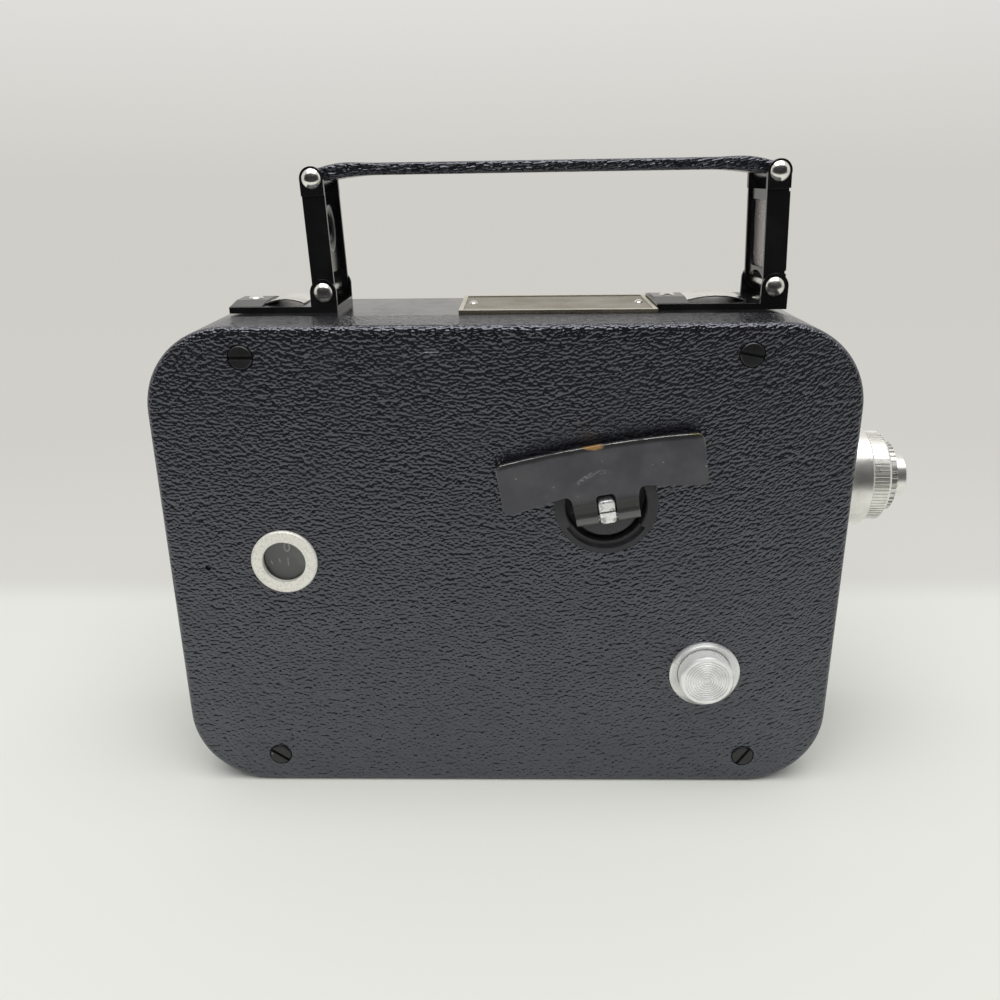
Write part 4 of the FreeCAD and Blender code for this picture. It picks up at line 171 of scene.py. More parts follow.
class Finish(Graph):
    """The node tree of a material, round its one shader."""

    def __init__(self, name):
        self.material = bpy.data.materials.new(name)
        self.material.use_nodes = True
        super().__init__(self.material.node_tree, "Object")
        self.shader = self.tree.nodes["Principled BSDF"]

    def soft_edges(self, radius):
        made = self.node("ShaderNodeBevel", samples=4)
        self.feed(made.inputs["Radius"], radius)
        return made.outputs["Normal"]

    def edge_mask(self, rounded, low, high):
        """1 along the sharp edges, from how far the rounded normal turns off the true one."""
        plain = self.node("ShaderNodeNewGeometry").outputs["True Normal"]
        agree = self.vector("DOT_PRODUCT", rounded, plain)
        return self.span(self.math("SUBTRACT", 1.0, agree), low, high)

    def spot(self, centre, half_sizes, softness=0.3):
        """1 inside an ellipsoid round a point of the object, 0 outside it."""
        away = self.vector("SUBTRACT", self.place, centre)
        share = self.vector("LENGTH", self.vector("DIVIDE", away, half_sizes))
        return self.span(share, 1.0, 1.0 - softness)

    def specks(self, scale, size, patches):
        """1 on small specks, as long as the patches they come in are 1 too."""
        return self.product(self.span(self.cells(scale), *size), patches)

    def bump(self, height, distance, strength=1.0, normal=None):
        made = self.node("ShaderNodeBump")
        self.feed(made.inputs["Height"], height)
        self.feed(made.inputs["Distance"], distance)
        self.feed(made.inputs["Strength"], strength)
        if normal is not None:
            self.feed(made.inputs["Normal"], normal)
        return made.outputs["Normal"]

    def surface(self, **sockets):
        """Sets or links the shader's own sockets, such as Base_Color or Roughness."""
        for key, value in sockets.items():
            self.feed(self.shader.inputs[key.replace("_", " ")], value)
        return self.material


def shade(colour, factor):
    """The colour made darker, or lighter, by a factor."""
    return tuple(part * factor for part in colour)


# A noise's middle in each channel, and where in a noise the dull patches start and are full.
NOISE_MIDDLE = (0.5, 0.5, 0.5)
DULL_PATCHES = (0.3, 0.7)
WIDE_PATCHES = (0.3, 0.75)


# Leather. Counts are to the metre, and what adds to the relief does so as a share of a pebble.
BLACK_LEATHER = (0.0095, 0.0095, 0.013)
STRAP_LEATHER = (0.012, 0.012, 0.0145)
COVER_PEBBLES = (1080.0, 1400.0, 1400.0)
STRAP_PEBBLES = (700.0, 1600.0, 1600.0)
COVER_RELIEF = 0.32 * MM
STRAP_RELIEF = 0.34 * MM
PEBBLE_SMOOTHNESS = 0.35
PEBBLE_EDGE = (0.62, 0.30)
GRAIN_CLIMB = 3.2
GRAIN_DRIFTS = 150.0
GRAIN_WANDER = (1.0 * MM, 0.0, 1.0 * MM)
PORES = 2400.0
PORE_RELIEF = 0.12
SWELLS = 110.0
SWELL_RELIEF = 0.25
# The painted shade in the valleys between pebbles, and the painted sheen on the swells' tops.
PAINTED_VALLEY_SHADE = 0.6
SWELL_SHEEN = 1.6
SWELL_TOPS = (0.42, 0.68)
SWELL_SHEEN_SHARE = 0.35
LEATHER_ROUGH = (0.29, 0.21)
LEATHER_IOR = 1.6
LEATHER_SHINE = 1.0
LEATHER_TINT = (0.86, 0.88, 1.0)

# The cover's marks of use: the edge under the top, rubbed smooth, and a long scratch below it.
cover_low, cover_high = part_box("cover_leather")
RUBBED_EDGE = (cover_high.z - 4.1 * MM, cover_high.z - 3.1 * MM)
RUBBED_ROUGH = 0.65
SCRATCH_PLACE = (-15.8 * MM, cover_low.y, cover_high.z - 5.8 * MM)
SCRATCH_SIZE = (2.9 * MM, 2.0 * MM, 0.16 * MM)
SCRATCH_BREAKS = (0.38, 0.52)
SCRATCH_SHARE = 0.75
SCRATCH_COLOUR = (0.34, 0.335, 0.34)


def pebbles(g, counts):
    """How far a point lies from its pebble's middle, in wavy rows that rise towards the lens end."""
    along = g.math("MAXIMUM", g.axis(g.place, "X"), 0.0)
    climb = g.node("ShaderNodeCombineXYZ")
    g.feed(climb.inputs["Z"], g.product(along, along, -GRAIN_CLIMB))
    drift = g.vector("SUBTRACT", g.noise(GRAIN_DRIFTS, detail=2.0, colour=True), NOISE_MIDDLE)
    climbing = g.vector("ADD", g.place, climb.outputs[0])
    place = g.vector("ADD", climbing, g.vector("MULTIPLY", drift, GRAIN_WANDER))
    made = g.node("ShaderNodeTexVoronoi", feature="SMOOTH_F1")
    g.feed(made.inputs["Vector"], g.vector("MULTIPLY", place, counts))
    g.feed(made.inputs["Scale"], 1.0)
    g.feed(made.inputs["Smoothness"], PEBBLE_SMOOTHNESS)
    return made.outputs["Distance"]


def leather(name, counts, relief, colour, scratch=False):
    """Black bookbinder's leather: rounded pebbles with pores, on slow swells that carry the shine and a
    painted sheen.
    """
    g = Finish(name)
    away = pebbles(g, counts)
    dome = g.math("SUBTRACT", 1.0, g.product(away, away))
    pores = g.noise(PORES, roughness=0.6)
    swell = g.noise(SWELLS, detail=2.0)
    rise = g.total(dome, g.product(pores, PORE_RELIEF), g.product(swell, SWELL_RELIEF))
    # Painted shade: the valleys between the pebbles are darker than the pebbles' middles.
    tone = g.blend(g.span(away, *PEBBLE_EDGE), shade(colour, PAINTED_VALLEY_SHADE), colour)
    # Painted sheen: the swells' tops are lighter.
    sheen = g.span(swell, *SWELL_TOPS, 0.0, SWELL_SHEEN_SHARE)
    tone = g.blend(sheen, tone, shade(colour, SWELL_SHEEN))
    rubbed = g.span(g.axis(g.place, "Z"), *RUBBED_EDGE, 1.0, RUBBED_ROUGH)
    if scratch:
        mark = g.product(g.spot(SCRATCH_PLACE, SCRATCH_SIZE), g.span(pores, *SCRATCH_BREAKS))
        tone = g.blend(g.product(mark, SCRATCH_SHARE), tone, SCRATCH_COLOUR)
    return g.surface(
        Base_Color=tone,
        Roughness=g.product(g.span(swell, *DULL_PATCHES, *LEATHER_ROUGH), rubbed),
        IOR=LEATHER_IOR,
        Specular_IOR_Level=LEATHER_SHINE,
        Specular_Tint=LEATHER_TINT,
        Normal=g.bump(rise, relief),
    )


# Enamel: counts to the metre, and where each mask on them starts and is full.
ENAMEL_EDGE = 0.16 * MM
ENAMEL_PEELS = 900.0
ENAMEL_PEEL_HEIGHT = 0.02 * MM
ENAMEL_PEEL_SHARE = 0.35
ENAMEL_CLOUDS = 90.0
CLOUD_TOPS = (0.45, 0.75)
CLOUD_SHADE = 1.9
ENAMEL_ROUGH_SPREAD = 0.13
DUST_CELLS = 260.0
DUST_SIZE = (0.10, 0.05)
DUST_PATCHES = 75.0
DUST_PATCH = (0.58, 0.66)
DUST_SHARE = 0.5
DUST_COLOUR = (0.25, 0.25, 0.25)
WEAR_EDGE = (0.015, 0.09)
WEAR_BREAKS = 420.0
WEAR_SPREAD = 0.12


def enamel(name, colour, rough, wear=None, wear_colour=None):
    """Stoved enamel on metal, with a light orange peel, dust and, where asked, worn edges.

    The edges wear where a noise passes the wear value, so less of it wears more.
    """
    g = Finish(name)
    rounded = g.soft_edges(ENAMEL_EDGE)
    peel = g.noise(ENAMEL_PEELS, detail=2.0)
    cloud = g.noise(ENAMEL_CLOUDS)
    dust = g.specks(DUST_CELLS, DUST_SIZE, g.span(g.noise(DUST_PATCHES), *DUST_PATCH))
    paint = g.blend(g.span(cloud, *CLOUD_TOPS), colour, shade(colour, CLOUD_SHADE))
    paint = g.blend(g.product(dust, DUST_SHARE), paint, DUST_COLOUR)
    if wear:
        edge = g.edge_mask(rounded, *WEAR_EDGE)
        breaks = g.noise(WEAR_BREAKS, detail=4.0, roughness=0.7)
        worn = g.product(edge, g.span(breaks, wear, wear + WEAR_SPREAD))
        paint = g.blend(worn, paint, wear_colour)
        g.surface(Metallic=worn)
    return g.surface(
        Base_Color=paint,
        Roughness=g.span(cloud, *WIDE_PATCHES, rough, rough + ENAMEL_ROUGH_SPREAD),
        Normal=g.bump(peel, ENAMEL_PEEL_HEIGHT, ENAMEL_PEEL_SHARE, rounded),
    )


# Metal: hair scratches and brushing, as noise drawn out, and the tarnish on it.
METAL_EDGE = 0.12 * MM
METAL_CLOUDS = 140.0
STAIN_SHADE = 0.62
STAIN_TOPS = (0.42, 0.82)
STAIN_SHARE = 0.55
HAIR_TURN = (0.3, 0.5, 0.9)
HAIR_STRETCH = (1.0, 9.0, 9.0)
HAIRS = 500.0
BRUSH_MARKS = 60.0
SCRATCH_HEIGHT = 0.01 * MM
METAL_PATCHES = (0.3, 0.8)
METAL_ROUGH_SPREAD = 0.18
MOTTLE_ROUGH = 0.3


def stretched(g, stretch, turn=(0.0, 0.0, 0.0)):
    """The object's coordinates turned and then scaled, which draws a noise out the other way."""
    made = g.node("ShaderNodeMapping")
    g.feed(made.inputs["Vector"], g.place)
    g.feed(made.inputs["Rotation"], turn)
    g.feed(made.inputs["Scale"], stretch)
    return made.outputs["Vector"]


def metal(name, colour, rough, brushed=None, mottle=0.0, scratches=0.25, share=1.0, clouds=METAL_CLOUDS):
    """Bare or plated metal: fine scratches, a little tarnish, and brushing along or round an axis."""
    g = Finish(name)
    rounded = g.soft_edges(METAL_EDGE)
    cloud = g.noise(clouds, detail=4.0, roughness=0.6)
    stain = g.span(cloud, *STAIN_TOPS, 0.0, STAIN_SHARE + mottle)
    height = g.noise(HAIRS, roughness=0.7, place=stretched(g, HAIR_STRETCH, HAIR_TURN))
    if brushed:
        marks = g.noise(BRUSH_MARKS, detail=2.0, roughness=0.6, place=stretched(g, brushed))
        height = g.total(height, marks)
    dullest = min(1.0, rough + METAL_ROUGH_SPREAD + mottle * MOTTLE_ROUGH)
    return g.surface(
        Base_Color=g.blend(stain, colour, shade(colour, STAIN_SHADE)),
        Metallic=share,
        Roughness=g.span(cloud, *METAL_PATCHES, rough, dullest),
        Normal=g.bump(height, SCRATCH_HEIGHT, scratches, rounded),
    )


# Flat paint: a crackled grain under slow clouds.
FLAT_GRAIN = 1500.0
FLAT_GRAIN_HEIGHT = 0.03 * MM
FLAT_GRAIN_SHARE = 0.6
FLAT_CLOUDS = 120.0
FLAT_TOPS = (0.4, 0.8)
FLAT_SHADE = 2.2
FLAT_ROUGH_SPREAD = 0.12


def flat_paint(name, colour, rough):
    """Flat paint, slightly crackled, as inside the case."""
    g = Finish(name)
    grain = g.noise(FLAT_GRAIN)
    cloud = g.noise(FLAT_CLOUDS)
    return g.surface(
        Base_Color=g.blend(g.span(cloud, *FLAT_TOPS), colour, shade(colour, FLAT_SHADE)),
        Roughness=g.span(cloud, *DULL_PATCHES, rough - FLAT_ROUGH_SPREAD, rough),
        Normal=g.bump(grain, FLAT_GRAIN_HEIGHT, FLAT_GRAIN_SHARE),
    )


# Glass: its haze, and how much rougher that is than the rest.
CLEAR_GLASS = (0.95, 0.97, 0.96)
GLASS_IOR = 1.5
HAZE_PATCHES = 220.0
HAZE_TOPS = (0.45, 0.8)
HAZE_ROUGH = 0.10


def glass(name, tint, rough=0.02, clear=1.0):
    """Glass, a little hazy in patches. Less than clear, it scatters as old celluloid does."""
    g = Finish(name)
    haze = g.noise(HAZE_PATCHES, detail=4.0, roughness=0.65)
    return g.surface(
        Base_Color=tint,
        Transmission_Weight=clear,
        IOR=GLASS_IOR,
        Roughness=g.span(haze, *HAZE_TOPS, rough, rough + HAZE_ROUGH),
    )


# The key: where its post's axis meets the middle of its plate, the way along it and the way up it.
KEY_ANCHOR = joints["key_turn"]["pos_m"]
KEY_THICKNESS = 1.2 * MM
KEY_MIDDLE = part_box("winding_key")[0].y + KEY_THICKNESS / 2
KEY_CENTRE = Vector((KEY_ANCHOR[0], KEY_MIDDLE, KEY_ANCHOR[2]))
KEY_WAY = Vector(joints["key_fold"]["axis"])
KEY_UP = Vector((-KEY_WAY.z, 0.0, KEY_WAY.x))
KEY_EDGE = 0.3 * MM
KEY_CLOUDS = 160.0
KEY_CLOUD_TOPS = (0.35, 0.75)
KEY_DARK = (0.048, 0.048, 0.056)
KEY_PALE = (0.072, 0.071, 0.078)
KEY_GRAIN = 1500.0

# Its upper edge, which drops a little from the middle to each end, and the dark band below it.
KEY_TOP = 15.2 * MM
KEY_HALF = 23.5 * MM
KEY_DROP = 1.1 * MM
BAND_BELOW = (1.8 * MM, 1.0 * MM)
BAND_WAVER = 0.6 * MM
BAND_SHARE = 0.85
BAND_COLOUR = (0.006, 0.006, 0.007)

# The neck over the hinge, with painted shade where it bends in, and the knuckle in it, paler as a painted
# highlight.
NECK_SIDES = (7.8 * MM, 7.4 * MM)
NECK_HEIGHT = (3.2 * MM, 0.8 * MM)
NECK_SHADE_SHARE = 0.9
NECK_SHADE_COLOUR = (0.004, 0.004, 0.0045)
KNUCKLE_HEIGHT = (-1.75 * MM, -1.95 * MM)
KNUCKLE_HIGHLIGHT = (0.115, 0.112, 0.115)

# The arc that the folding key has scratched, the worn edge, whose pale metal along the top is partly a
# painted highlight, its brassy tip, and the rub on the top.
SWEEP_RADIUS = 9.0 * MM
SWEEP_WIDTH = (0.7 * MM, 0.2 * MM)
SWEEP_BREAKS = (0.42, 0.60)
SWEEP_PLACE = KEY_CENTRE + Vector((-4.2, 0.0, 7.7)) * MM
SWEEP_SIZE = (6.0 * MM, 3.0 * MM, 3.2 * MM)
SWEEP_SHARE = 0.55
SWEEP_COLOUR = (0.26, 0.26, 0.27)
KEY_WEAR_EDGE = (0.02, 0.12)
KEY_WEAR_BREAKS = 330.0
KEY_WEAR_TOPS = (0.36, 0.52)
KEY_WEAR_LEAST = 0.25
TOP_WEAR_AND_HIGHLIGHT_BELOW = (4.0 * MM, 0.8 * MM)
KEY_WEAR_LOW = 0.12
KEY_WEAR_AND_HIGHLIGHT_COLOUR = (0.70, 0.68, 0.64)
TIP_PLACE = KEY_CENTRE + Vector((20.4, -0.1, 17.3)) * MM
TIP_SIZE = (4.5 * MM, 2.4 * MM, 3.0 * MM)
TIP_COLOUR = (0.75, 0.60, 0.30)
RUB_PLACE = KEY_CENTRE + Vector((-3.7, -0.1, 14.65)) * MM
RUB_SIZE = (3.0 * MM, 1.4 * MM, 1.0 * MM)
RUB_BREAKS = (0.30, 0.50)
RUB_LEAST = 0.35
RUB_COLOUR = (0.72, 0.42, 0.17)
KEY_DUST_CELLS = 420.0
KEY_DUST_SIZE = (0.12, 0.05)
KEY_DUST_PATCH = (0.52, 0.60)
KEY_DUST_SHARE = 0.6
KEY_DUST_COLOUR = (0.30, 0.29, 0.28)
KEY_ROUGH = (0.30, 0.42)
KEY_SHINE = 0.6
KEY_PEELS = 800.0
KEY_PEEL_HEIGHT = 0.02 * MM
KEY_PEEL_SHARE = 0.4


def along_key(g, way):
    """How far from the middle of the key's post a point lies, along a direction."""
    return g.vector("DOT_PRODUCT", g.vector("SUBTRACT", g.place, KEY_CENTRE), way)


def key_scratch(g, fine):
    """1 on the arc that the folding key has scratched round its post."""
    reach = g.vector("LENGTH", g.vector("SUBTRACT", g.place, KEY_CENTRE))
    off_arc = g.math("ABSOLUTE", g.math("SUBTRACT", reach, SWEEP_RADIUS))
    near = g.product(g.span(off_arc, *SWEEP_WIDTH), g.span(fine, *SWEEP_BREAKS))
    return g.product(near, g.spot(SWEEP_PLACE, SWEEP_SIZE, softness=0.6))


def worn_key(name):
    """The key's dark plating: a worn edge, partly a painted highlight, with a dark band under it, rubs, and a
    hinge with painted shade and a painted highlight.
    """
    g = Finish(name)
    rounded = g.soft_edges(KEY_EDGE)
    cloud = g.noise(KEY_CLOUDS, detail=4.0, roughness=0.6)
    fine = g.noise(KEY_GRAIN, roughness=0.6)
    along = along_key(g, KEY_WAY)
    height = along_key(g, KEY_UP)
    bow = g.product(along, along, KEY_DROP / KEY_HALF ** 2)
    below = g.math("SUBTRACT", g.math("SUBTRACT", KEY_TOP, bow), height)
    band = g.span(g.total(below, g.product(cloud, BAND_WAVER)), *BAND_BELOW)
    neck = g.span(g.math("ABSOLUTE", along), *NECK_SIDES)
    # Painted shade on the neck above the hinge.
    neck_shade = g.product(neck, g.span(height, *NECK_HEIGHT))
    # Painted highlight along the hinge's knuckle.
    knuckle_highlight = g.product(neck, g.span(height, *KNUCKLE_HEIGHT))
    breaks = g.noise(KEY_WEAR_BREAKS, detail=4.0, roughness=0.7)
    # Worn edges, strongest along the top edge, where the pale worn metal is partly a painted highlight.
    worn = g.product(
        g.edge_mask(rounded, *KEY_WEAR_EDGE),
        g.span(breaks, *KEY_WEAR_TOPS, KEY_WEAR_LEAST, 1.0),
        g.span(below, *TOP_WEAR_AND_HIGHLIGHT_BELOW, KEY_WEAR_LOW, 1.0),
    )
    tip = g.spot(TIP_PLACE, TIP_SIZE, softness=0.6)
    rub = g.product(g.spot(RUB_PLACE, RUB_SIZE, softness=0.5), g.span(fine, *RUB_BREAKS, RUB_LEAST, 1.0))
    dust = g.specks(KEY_DUST_CELLS, KEY_DUST_SIZE, g.span(cloud, *KEY_DUST_PATCH))
    base = g.blend(g.span(cloud, *KEY_CLOUD_TOPS), KEY_DARK, KEY_PALE)
    base = g.blend(g.product(band, BAND_SHARE), base, BAND_COLOUR)
    base = g.blend(g.product(neck_shade, NECK_SHADE_SHARE), base, NECK_SHADE_COLOUR)
    base = g.blend(knuckle_highlight, base, KNUCKLE_HIGHLIGHT)
    base = g.blend(g.product(key_scratch(g, fine), SWEEP_SHARE), base, SWEEP_COLOUR)
    base = g.blend(worn, base, g.blend(tip, KEY_WEAR_AND_HIGHLIGHT_COLOUR, TIP_COLOUR))
    base = g.blend(rub, base, RUB_COLOUR)
    base = g.blend(g.product(dust, KEY_DUST_SHARE), base, KEY_DUST_COLOUR)
    peel = g.noise(KEY_PEELS, detail=2.0)
    return g.surface(
        Base_Color=base,
        Metallic=g.math("MAXIMUM", worn, rub),
        Roughness=g.span(cloud, *WIDE_PATCHES, *KEY_ROUGH),
        Specular_IOR_Level=KEY_SHINE,
        Normal=g.bump(peel, KEY_PEEL_HEIGHT, KEY_PEEL_SHARE, rounded),
    )


# The hub and the post in front of it, which starts a post's length behind the arbor's front.
POST_LENGTH = 3.3 * MM
HUB_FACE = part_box("winding_arbor")[0].y + POST_LENGTH
POST_START = (HUB_FACE - 0.1 * MM, HUB_FACE - 0.2 * MM)
# The crease across the post, and the painted shade along it.
POST_CREASE = -0.975 * MM
CREASE_WIDTH = (0.3 * MM, 0.1 * MM)
CREASE_SHADE = (0.12, 0.12, 0.12)
HUB_EDGE = 0.15 * MM
HUB_CLOUDS = 200.0
HUB_TOPS = (0.4, 0.7)
HUB_DARK = (0.034, 0.034, 0.038)
HUB_PALE = (0.052, 0.051, 0.054)
HUB_ROUGH = (0.20, 0.34)
HUB_PEELS = 900.0
HUB_PEEL_HEIGHT = 0.01 * MM
HUB_PEEL_SHARE = 0.4
POST_PLATING = (0.93, 0.93, 0.93)
POST_STAIN = (0.42, 0.41, 0.40)
POST_STAINS = 700.0
POST_STAIN_TOPS = (0.50, 0.66)
POST_METAL = 0.6


def hub_and_post(name):
    """Dark satin hub with a bright plated post in front of it, which a crease crosses in painted shade."""
    g = Finish(name)
    rounded = g.soft_edges(HUB_EDGE)
    cloud = g.noise(HUB_CLOUDS, detail=4.0, roughness=0.6)
    post = g.span(g.axis(g.place, "Y"), *POST_START)
    dark = g.blend(g.span(cloud, *HUB_TOPS), HUB_DARK, HUB_PALE)
    bright = g.blend(g.span(g.noise(POST_STAINS), *POST_STAIN_TOPS), POST_PLATING, POST_STAIN)
    off_crease = g.math("ABSOLUTE", g.math("SUBTRACT", along_key(g, KEY_UP), POST_CREASE))
    # Painted shade along the crease across the post.
    bright = g.blend(g.span(off_crease, *CREASE_WIDTH), bright, CREASE_SHADE)
    peel = g.noise(HUB_PEELS, detail=2.0)
    return g.surface(
        Base_Color=g.blend(post, dark, bright),
        Metallic=g.product(post, POST_METAL),
        Roughness=g.span(cloud, *WIDE_PATCHES, *HUB_ROUGH),
        Normal=g.bump(peel, HUB_PEEL_HEIGHT, HUB_PEEL_SHARE, rounded),
    )


# The rear sight's eyelet: how far from its middle, seen along X, the grey rim starts and is full.
EYELET_PLANE = (0.0, 1.0, 1.0)
EYELET_EDGE = 0.2 * MM
EYELET_RIM = (4.55 * MM, 4.85 * MM)
EYELET_BLACK = (0.007, 0.007, 0.008)
RIM_PALE = (0.24, 0.24, 0.25)
RIM_DARK = (0.14, 0.14, 0.145)
RIM_CLOUDS = 300.0
RIM_TOPS = (0.4, 0.7)
EYELET_ROUGH = (0.24, 0.36)


def rimmed_ring(name, node):
    """The rear sight's eyelet: black inside, with a grey rim."""
    g = Finish(name)
    low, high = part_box(node)
    away = g.vector("SUBTRACT", g.place, (low + high) / 2)
    reach = g.vector("LENGTH", g.vector("MULTIPLY", away, EYELET_PLANE))
    cloud = g.noise(RIM_CLOUDS)
    grey = g.blend(g.span(cloud, *RIM_TOPS), RIM_PALE, RIM_DARK)
    return g.surface(
        Base_Color=g.blend(g.span(reach, *EYELET_RIM), EYELET_BLACK, grey),
        Roughness=g.span(cloud, *DULL_PATCHES, *EYELET_ROUGH),
        Normal=g.soft_edges(EYELET_EDGE),
    )


# The nameplate: its sunk field, and the rim, whose tone starts and is full just under its top.
PLATE_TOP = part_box("nameplate")[1].z
PLATE_RISE = (PLATE_TOP - 0.2 * MM, PLATE_TOP - 0.1 * MM)
PLATE_EDGE = 0.12 * MM
PLATE_GRAIN = 3200.0
PLATE_GRAIN_TOPS = (0.35, 0.65)
PLATE_GRAIN_SHADE = 0.45
PLATE_GRAIN_HEIGHT = 0.05 * MM
PLATE_GRAIN_SHARE = 0.8
PLATE_CLOUDS = 120.0
PLATE_CLOUD_TOPS = (0.5, 0.75)
PLATE_CLOUD_SHADE = 0.55
PLATE_CLOUD_SHARE = 0.5
PLATE_METAL = 0.85
PLATE_ROUGH = (0.34, 0.50)


def grained_plate(name, colour, rim):
    """A bare cast plate: a grained field with a rubbed rim."""
    g = Finish(name)
    rounded = g.soft_edges(PLATE_EDGE)
    grain = g.noise(PLATE_GRAIN, roughness=0.65)
    cloud = g.noise(PLATE_CLOUDS, detail=4.0, roughness=0.6)
    raised = g.span(g.axis(g.place, "Z"), *PLATE_RISE)
    field = g.blend(g.span(grain, *PLATE_GRAIN_TOPS), shade(colour, PLATE_GRAIN_SHADE), colour)
    stain = g.span(cloud, *PLATE_CLOUD_TOPS, 0.0, PLATE_CLOUD_SHARE)
    field = g.blend(stain, field, shade(colour, PLATE_CLOUD_SHADE))
    return g.surface(
        Base_Color=g.blend(raised, field, rim),
        Metallic=PLATE_METAL,
        Roughness=g.span(cloud, *DULL_PATCHES, *PLATE_ROUGH),
        Normal=g.bump(grain, PLATE_GRAIN_HEIGHT, PLATE_GRAIN_SHARE, rounded),
    )


# The photograph's camera, found from the case's corners and the rivets. Its angles are in radians,
# and its sensor is in millimetres, as Blender wants it.
PHOTO_SIZE = 1000
FOCAL_PIXELS = 905.01
SENSOR = 36.0
CAMERA_PLACE = Vector((3.7234, -218.9658, 148.3315)) * MM
CAMERA_YAW = -0.0229
CAMERA_PITCH = 0.3470
CAMERA_ROLL = 0.0113
CAMERA_NEAR = 5.0 * MM


def make_camera():
    pitch, yaw, roll = CAMERA_PITCH, CAMERA_YAW, CAMERA_ROLL
    ahead = Vector((math.sin(yaw) * math.cos(pitch), math.cos(yaw) * math.cos(pitch), -math.sin(pitch)))
    level_right = Vector((math.cos(yaw), -math.sin(yaw), 0.0))
    level_down = ahead.cross(level_right)
    right = level_right * math.cos(roll) + level_down * math.sin(roll)
    down = level_down * math.cos(roll) - level_right * math.sin(roll)
    turn = Matrix((right, -down, -ahead)).transposed()
    data = bpy.data.cameras.new("photo_camera")
    data.sensor_width = SENSOR
    data.lens = FOCAL_PIXELS / PHOTO_SIZE * SENSOR
    data.clip_start = CAMERA_NEAR
    camera = bpy.data.objects.new("photo_camera", data)
    bpy.context.scene.collection.objects.link(camera)
    camera.matrix_world = Matrix.Translation(CAMERA_PLACE) @ turn.to_4x4()
    bpy.context.scene.camera = camera


# The studio's floor, and where its paper takes the tones behind the case and then the wall's.
FLOOR_HALF = 6.0
FLOOR_ROUGH = 0.9
FLOOR_SHINE = 0.1
FLOOR_NEAR = (0.765, 0.77, 0.715)
FLOOR_STEP = (0.67, 0.66, 0.62)
STEP_REACH = (0.078, 0.105)
FADE_START = 0.11
FADE_END = 0.45
AROUND_REACH = (0.55, 1.1)
FAR_NEAR = (0.637, 0.632, 0.595)
FAR_AWAY = (0.625, 0.612, 0.575)
FAR_REACH = (FADE_START, 2.5 * FADE_END)
WALL_REACH = (2.0 * FADE_END, FLOOR_HALF)

# The wall's tone rises to a share of the way up to the zenith. The sky lights the case unseen.
WALL_LOW = (0.63, 0.618, 0.58)
WALL_HIGH = (0.75, 0.74, 0.715)
WALL_TOP = 0.17
SKY_COLOUR = (0.98, 0.985, 1.0)
SKY_LIGHT = 0.47

# The soft light over the camera, and the dark room behind the photographer.
OVERHEAD_PLACE = Vector((0.0, -0.42, 1.25))
OVERHEAD_TARGET = Vector((0.0, -0.10, 0.05))
OVERHEAD_SIZE = (1.5, 1.3)
OVERHEAD_WATTS = 15.5
ROOM_CARD_Y = -0.25
ROOM_CARD_HALF = 0.75
ROOM_CARD_TOP = 0.50
ROOM_CARD_ROUGH = 0.9
ROOM_CARD_COLOUR = (0.02, 0.02, 0.022)


def flat_sheet(name, corners, material):
    mesh = bpy.data.meshes.new(name)
    mesh.from_pydata(corners, [], [(0, 1, 2, 3)])
    sheet = bpy.data.objects.new(name, mesh)
    bpy.context.scene.collection.objects.link(sheet)
    mesh.materials.append(material)
    return sheet


def make_floor():
    """Pale paper that takes shadows near the case and melts into the wall's tone far away."""
    g = Finish("studio_paper")
    depth = g.axis(g.place, "Y")
    distance = g.vector("LENGTH", g.place)
    paper = g.blend(g.span(depth, *STEP_REACH), FLOOR_NEAR, FLOOR_STEP)
    g.surface(Base_Color=paper, Roughness=FLOOR_ROUGH, Specular_IOR_Level=FLOOR_SHINE)
    tone = g.blend(g.span(depth, *FAR_REACH), FAR_NEAR, FAR_AWAY)
    tone = g.blend(g.span(distance, *WALL_REACH), tone, WALL_LOW)
    far = g.glow("ShaderNodeEmission", tone)
    fade = g.math("MAXIMUM", g.span(depth, FADE_START, FADE_END), g.span(distance, *AROUND_REACH))
    share = g.product(fade, g.sees_backdrop())
    mixed = g.mix_shaders(share, g.shader.outputs[0], far)
    g.feed(g.tree.nodes["Material Output"].inputs["Surface"], mixed)
    half = FLOOR_HALF
    corners = [(-half, -half, 0), (half, -half, 0), (half, half, 0), (-half, half, 0)]
    flat_sheet("studio_floor", corners, g.material)


def make_room_card():
    """A dark card behind the camera that only reflections meet."""
    card = Finish("room_card").surface(Base_Color=ROOM_CARD_COLOUR, Roughness=ROOM_CARD_ROUGH)
    left, right = -ROOM_CARD_HALF, ROOM_CARD_HALF
    y, top = ROOM_CARD_Y, ROOM_CARD_TOP
    sheet = flat_sheet("room_card", [(left, y, 0), (left, y, top), (right, y, top), (right, y, 0)], card)
    sheet.visible_camera = False
    sheet.visible_diffuse = False
    sheet.visible_shadow = False


def make_world():
    """The wall's tone where rays look for the backdrop, and an even pale sky for the rest."""
    world = bpy.data.worlds.new("studio")
    bpy.context.scene.world = world
    world.use_nodes = True
    world.node_tree.nodes.clear()
    g = Graph(world.node_tree, "Generated")
    rise = g.span(g.axis(g.place, "Z"), 0.0, WALL_TOP, kind="LINEAR")
    wall = g.glow("ShaderNodeBackground", g.blend(rise, WALL_LOW, WALL_HIGH))
    sky = g.glow("ShaderNodeBackground", SKY_COLOUR, SKY_LIGHT)
    mixed = g.mix_shaders(g.sees_backdrop(), sky, wall)
    g.feed(g.node("ShaderNodeOutputWorld").inputs["Surface"], mixed)


